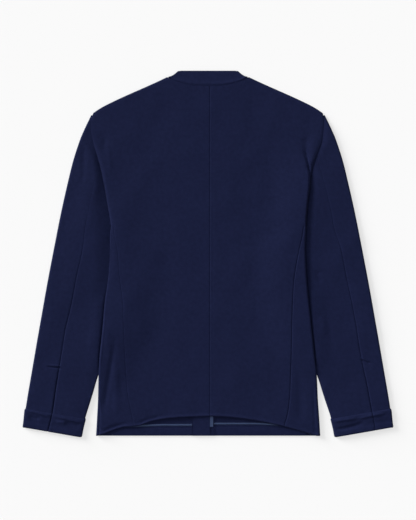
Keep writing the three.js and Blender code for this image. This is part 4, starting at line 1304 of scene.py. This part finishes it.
def build_jacket():
    knit = knit_material()
    tape = tape_material()
    for side in SIDES:
        for kind, make in (
            ("back", back_panel), ("side", side_panel), ("top_sleeve", top_sleeve),
            ("under_sleeve", under_sleeve), ("cuff", cuff), ("front", front_panel),
        ):
            piece = make(side)
            dress(piece, knit, kind + "_" + side.name)
    band = collar()
    dress(band, knit, "collar")
    strips = trim()
    for node, piece in strips.items():
        bound = node.startswith("binding")
        dress(piece, tape if bound else knit, node)
    button = button_material()
    for i in range(BUTTON_COUNT):
        node = bpy.data.objects["button_" + str(i + 1)]
        for slot in node.material_slots:
            slot.material = button


# Room: a bright white floor, a faint sky, a wide soft light overhead and a low one from the upper left.
FLOOR_HALF = 3.0
FLOOR_TONE = 0.45
FLOOR_GLOW = 0.555
SKY = 0.25
LAMPS = (
    ("window", (-1.8, 1.2, 0.62), 28, 4.6),
    ("overhead", (-0.2, 0.3, 3.0), 70, 0.75),
)
CAMERA_HEIGHT = 3.0
FRAME_HEIGHT = 1.04
FRAME_MIDDLE_Y = -0.012
SENSOR = 36


def build_room():
    deselect()
    bpy.ops.mesh.primitive_plane_add(size=2 * FLOOR_HALF, location=(0, 0, -0.0002))
    floor = bpy.context.object
    floor.name = "floor"
    paint = Paint("pale_floor")
    floor.data.materials.append(paint.finish(**{
        "Base Color": colour(FLOOR_TONE, FLOOR_TONE, FLOOR_TONE), "Roughness": 0.9, "Specular IOR Level": 0.0,
        "Emission Color": colour(1, 1, 1), "Emission Strength": FLOOR_GLOW,
    }))
    world = bpy.context.scene.world or bpy.data.worlds.new("sky")
    bpy.context.scene.world = world
    world.use_nodes = True
    background = world.node_tree.nodes["Background"]
    background.inputs["Color"].default_value = colour(1, 1, 1)
    background.inputs["Strength"].default_value = SKY
    for name, place, wide, power in LAMPS:
        bpy.ops.object.light_add(type="SUN", location=place)
        lamp = bpy.context.object
        lamp.name = name
        lamp.data.angle = math.radians(wide)
        lamp.data.energy = power
        lamp.rotation_euler = (-lamp.location).to_track_quat("-Z", "Y").to_euler()
    bpy.ops.object.camera_add(location=(0, FRAME_MIDDLE_Y, CAMERA_HEIGHT), rotation=(0, 0, 0))
    camera = bpy.context.object
    camera.data.sensor_fit = "VERTICAL"
    camera.data.sensor_height = SENSOR
    camera.data.lens = SENSOR * CAMERA_HEIGHT / FRAME_HEIGHT
    camera.data.clip_end = 20
    bpy.context.scene.camera = camera
    bpy.context.scene.view_settings.view_transform = "Standard"


build_jacket()
build_room()
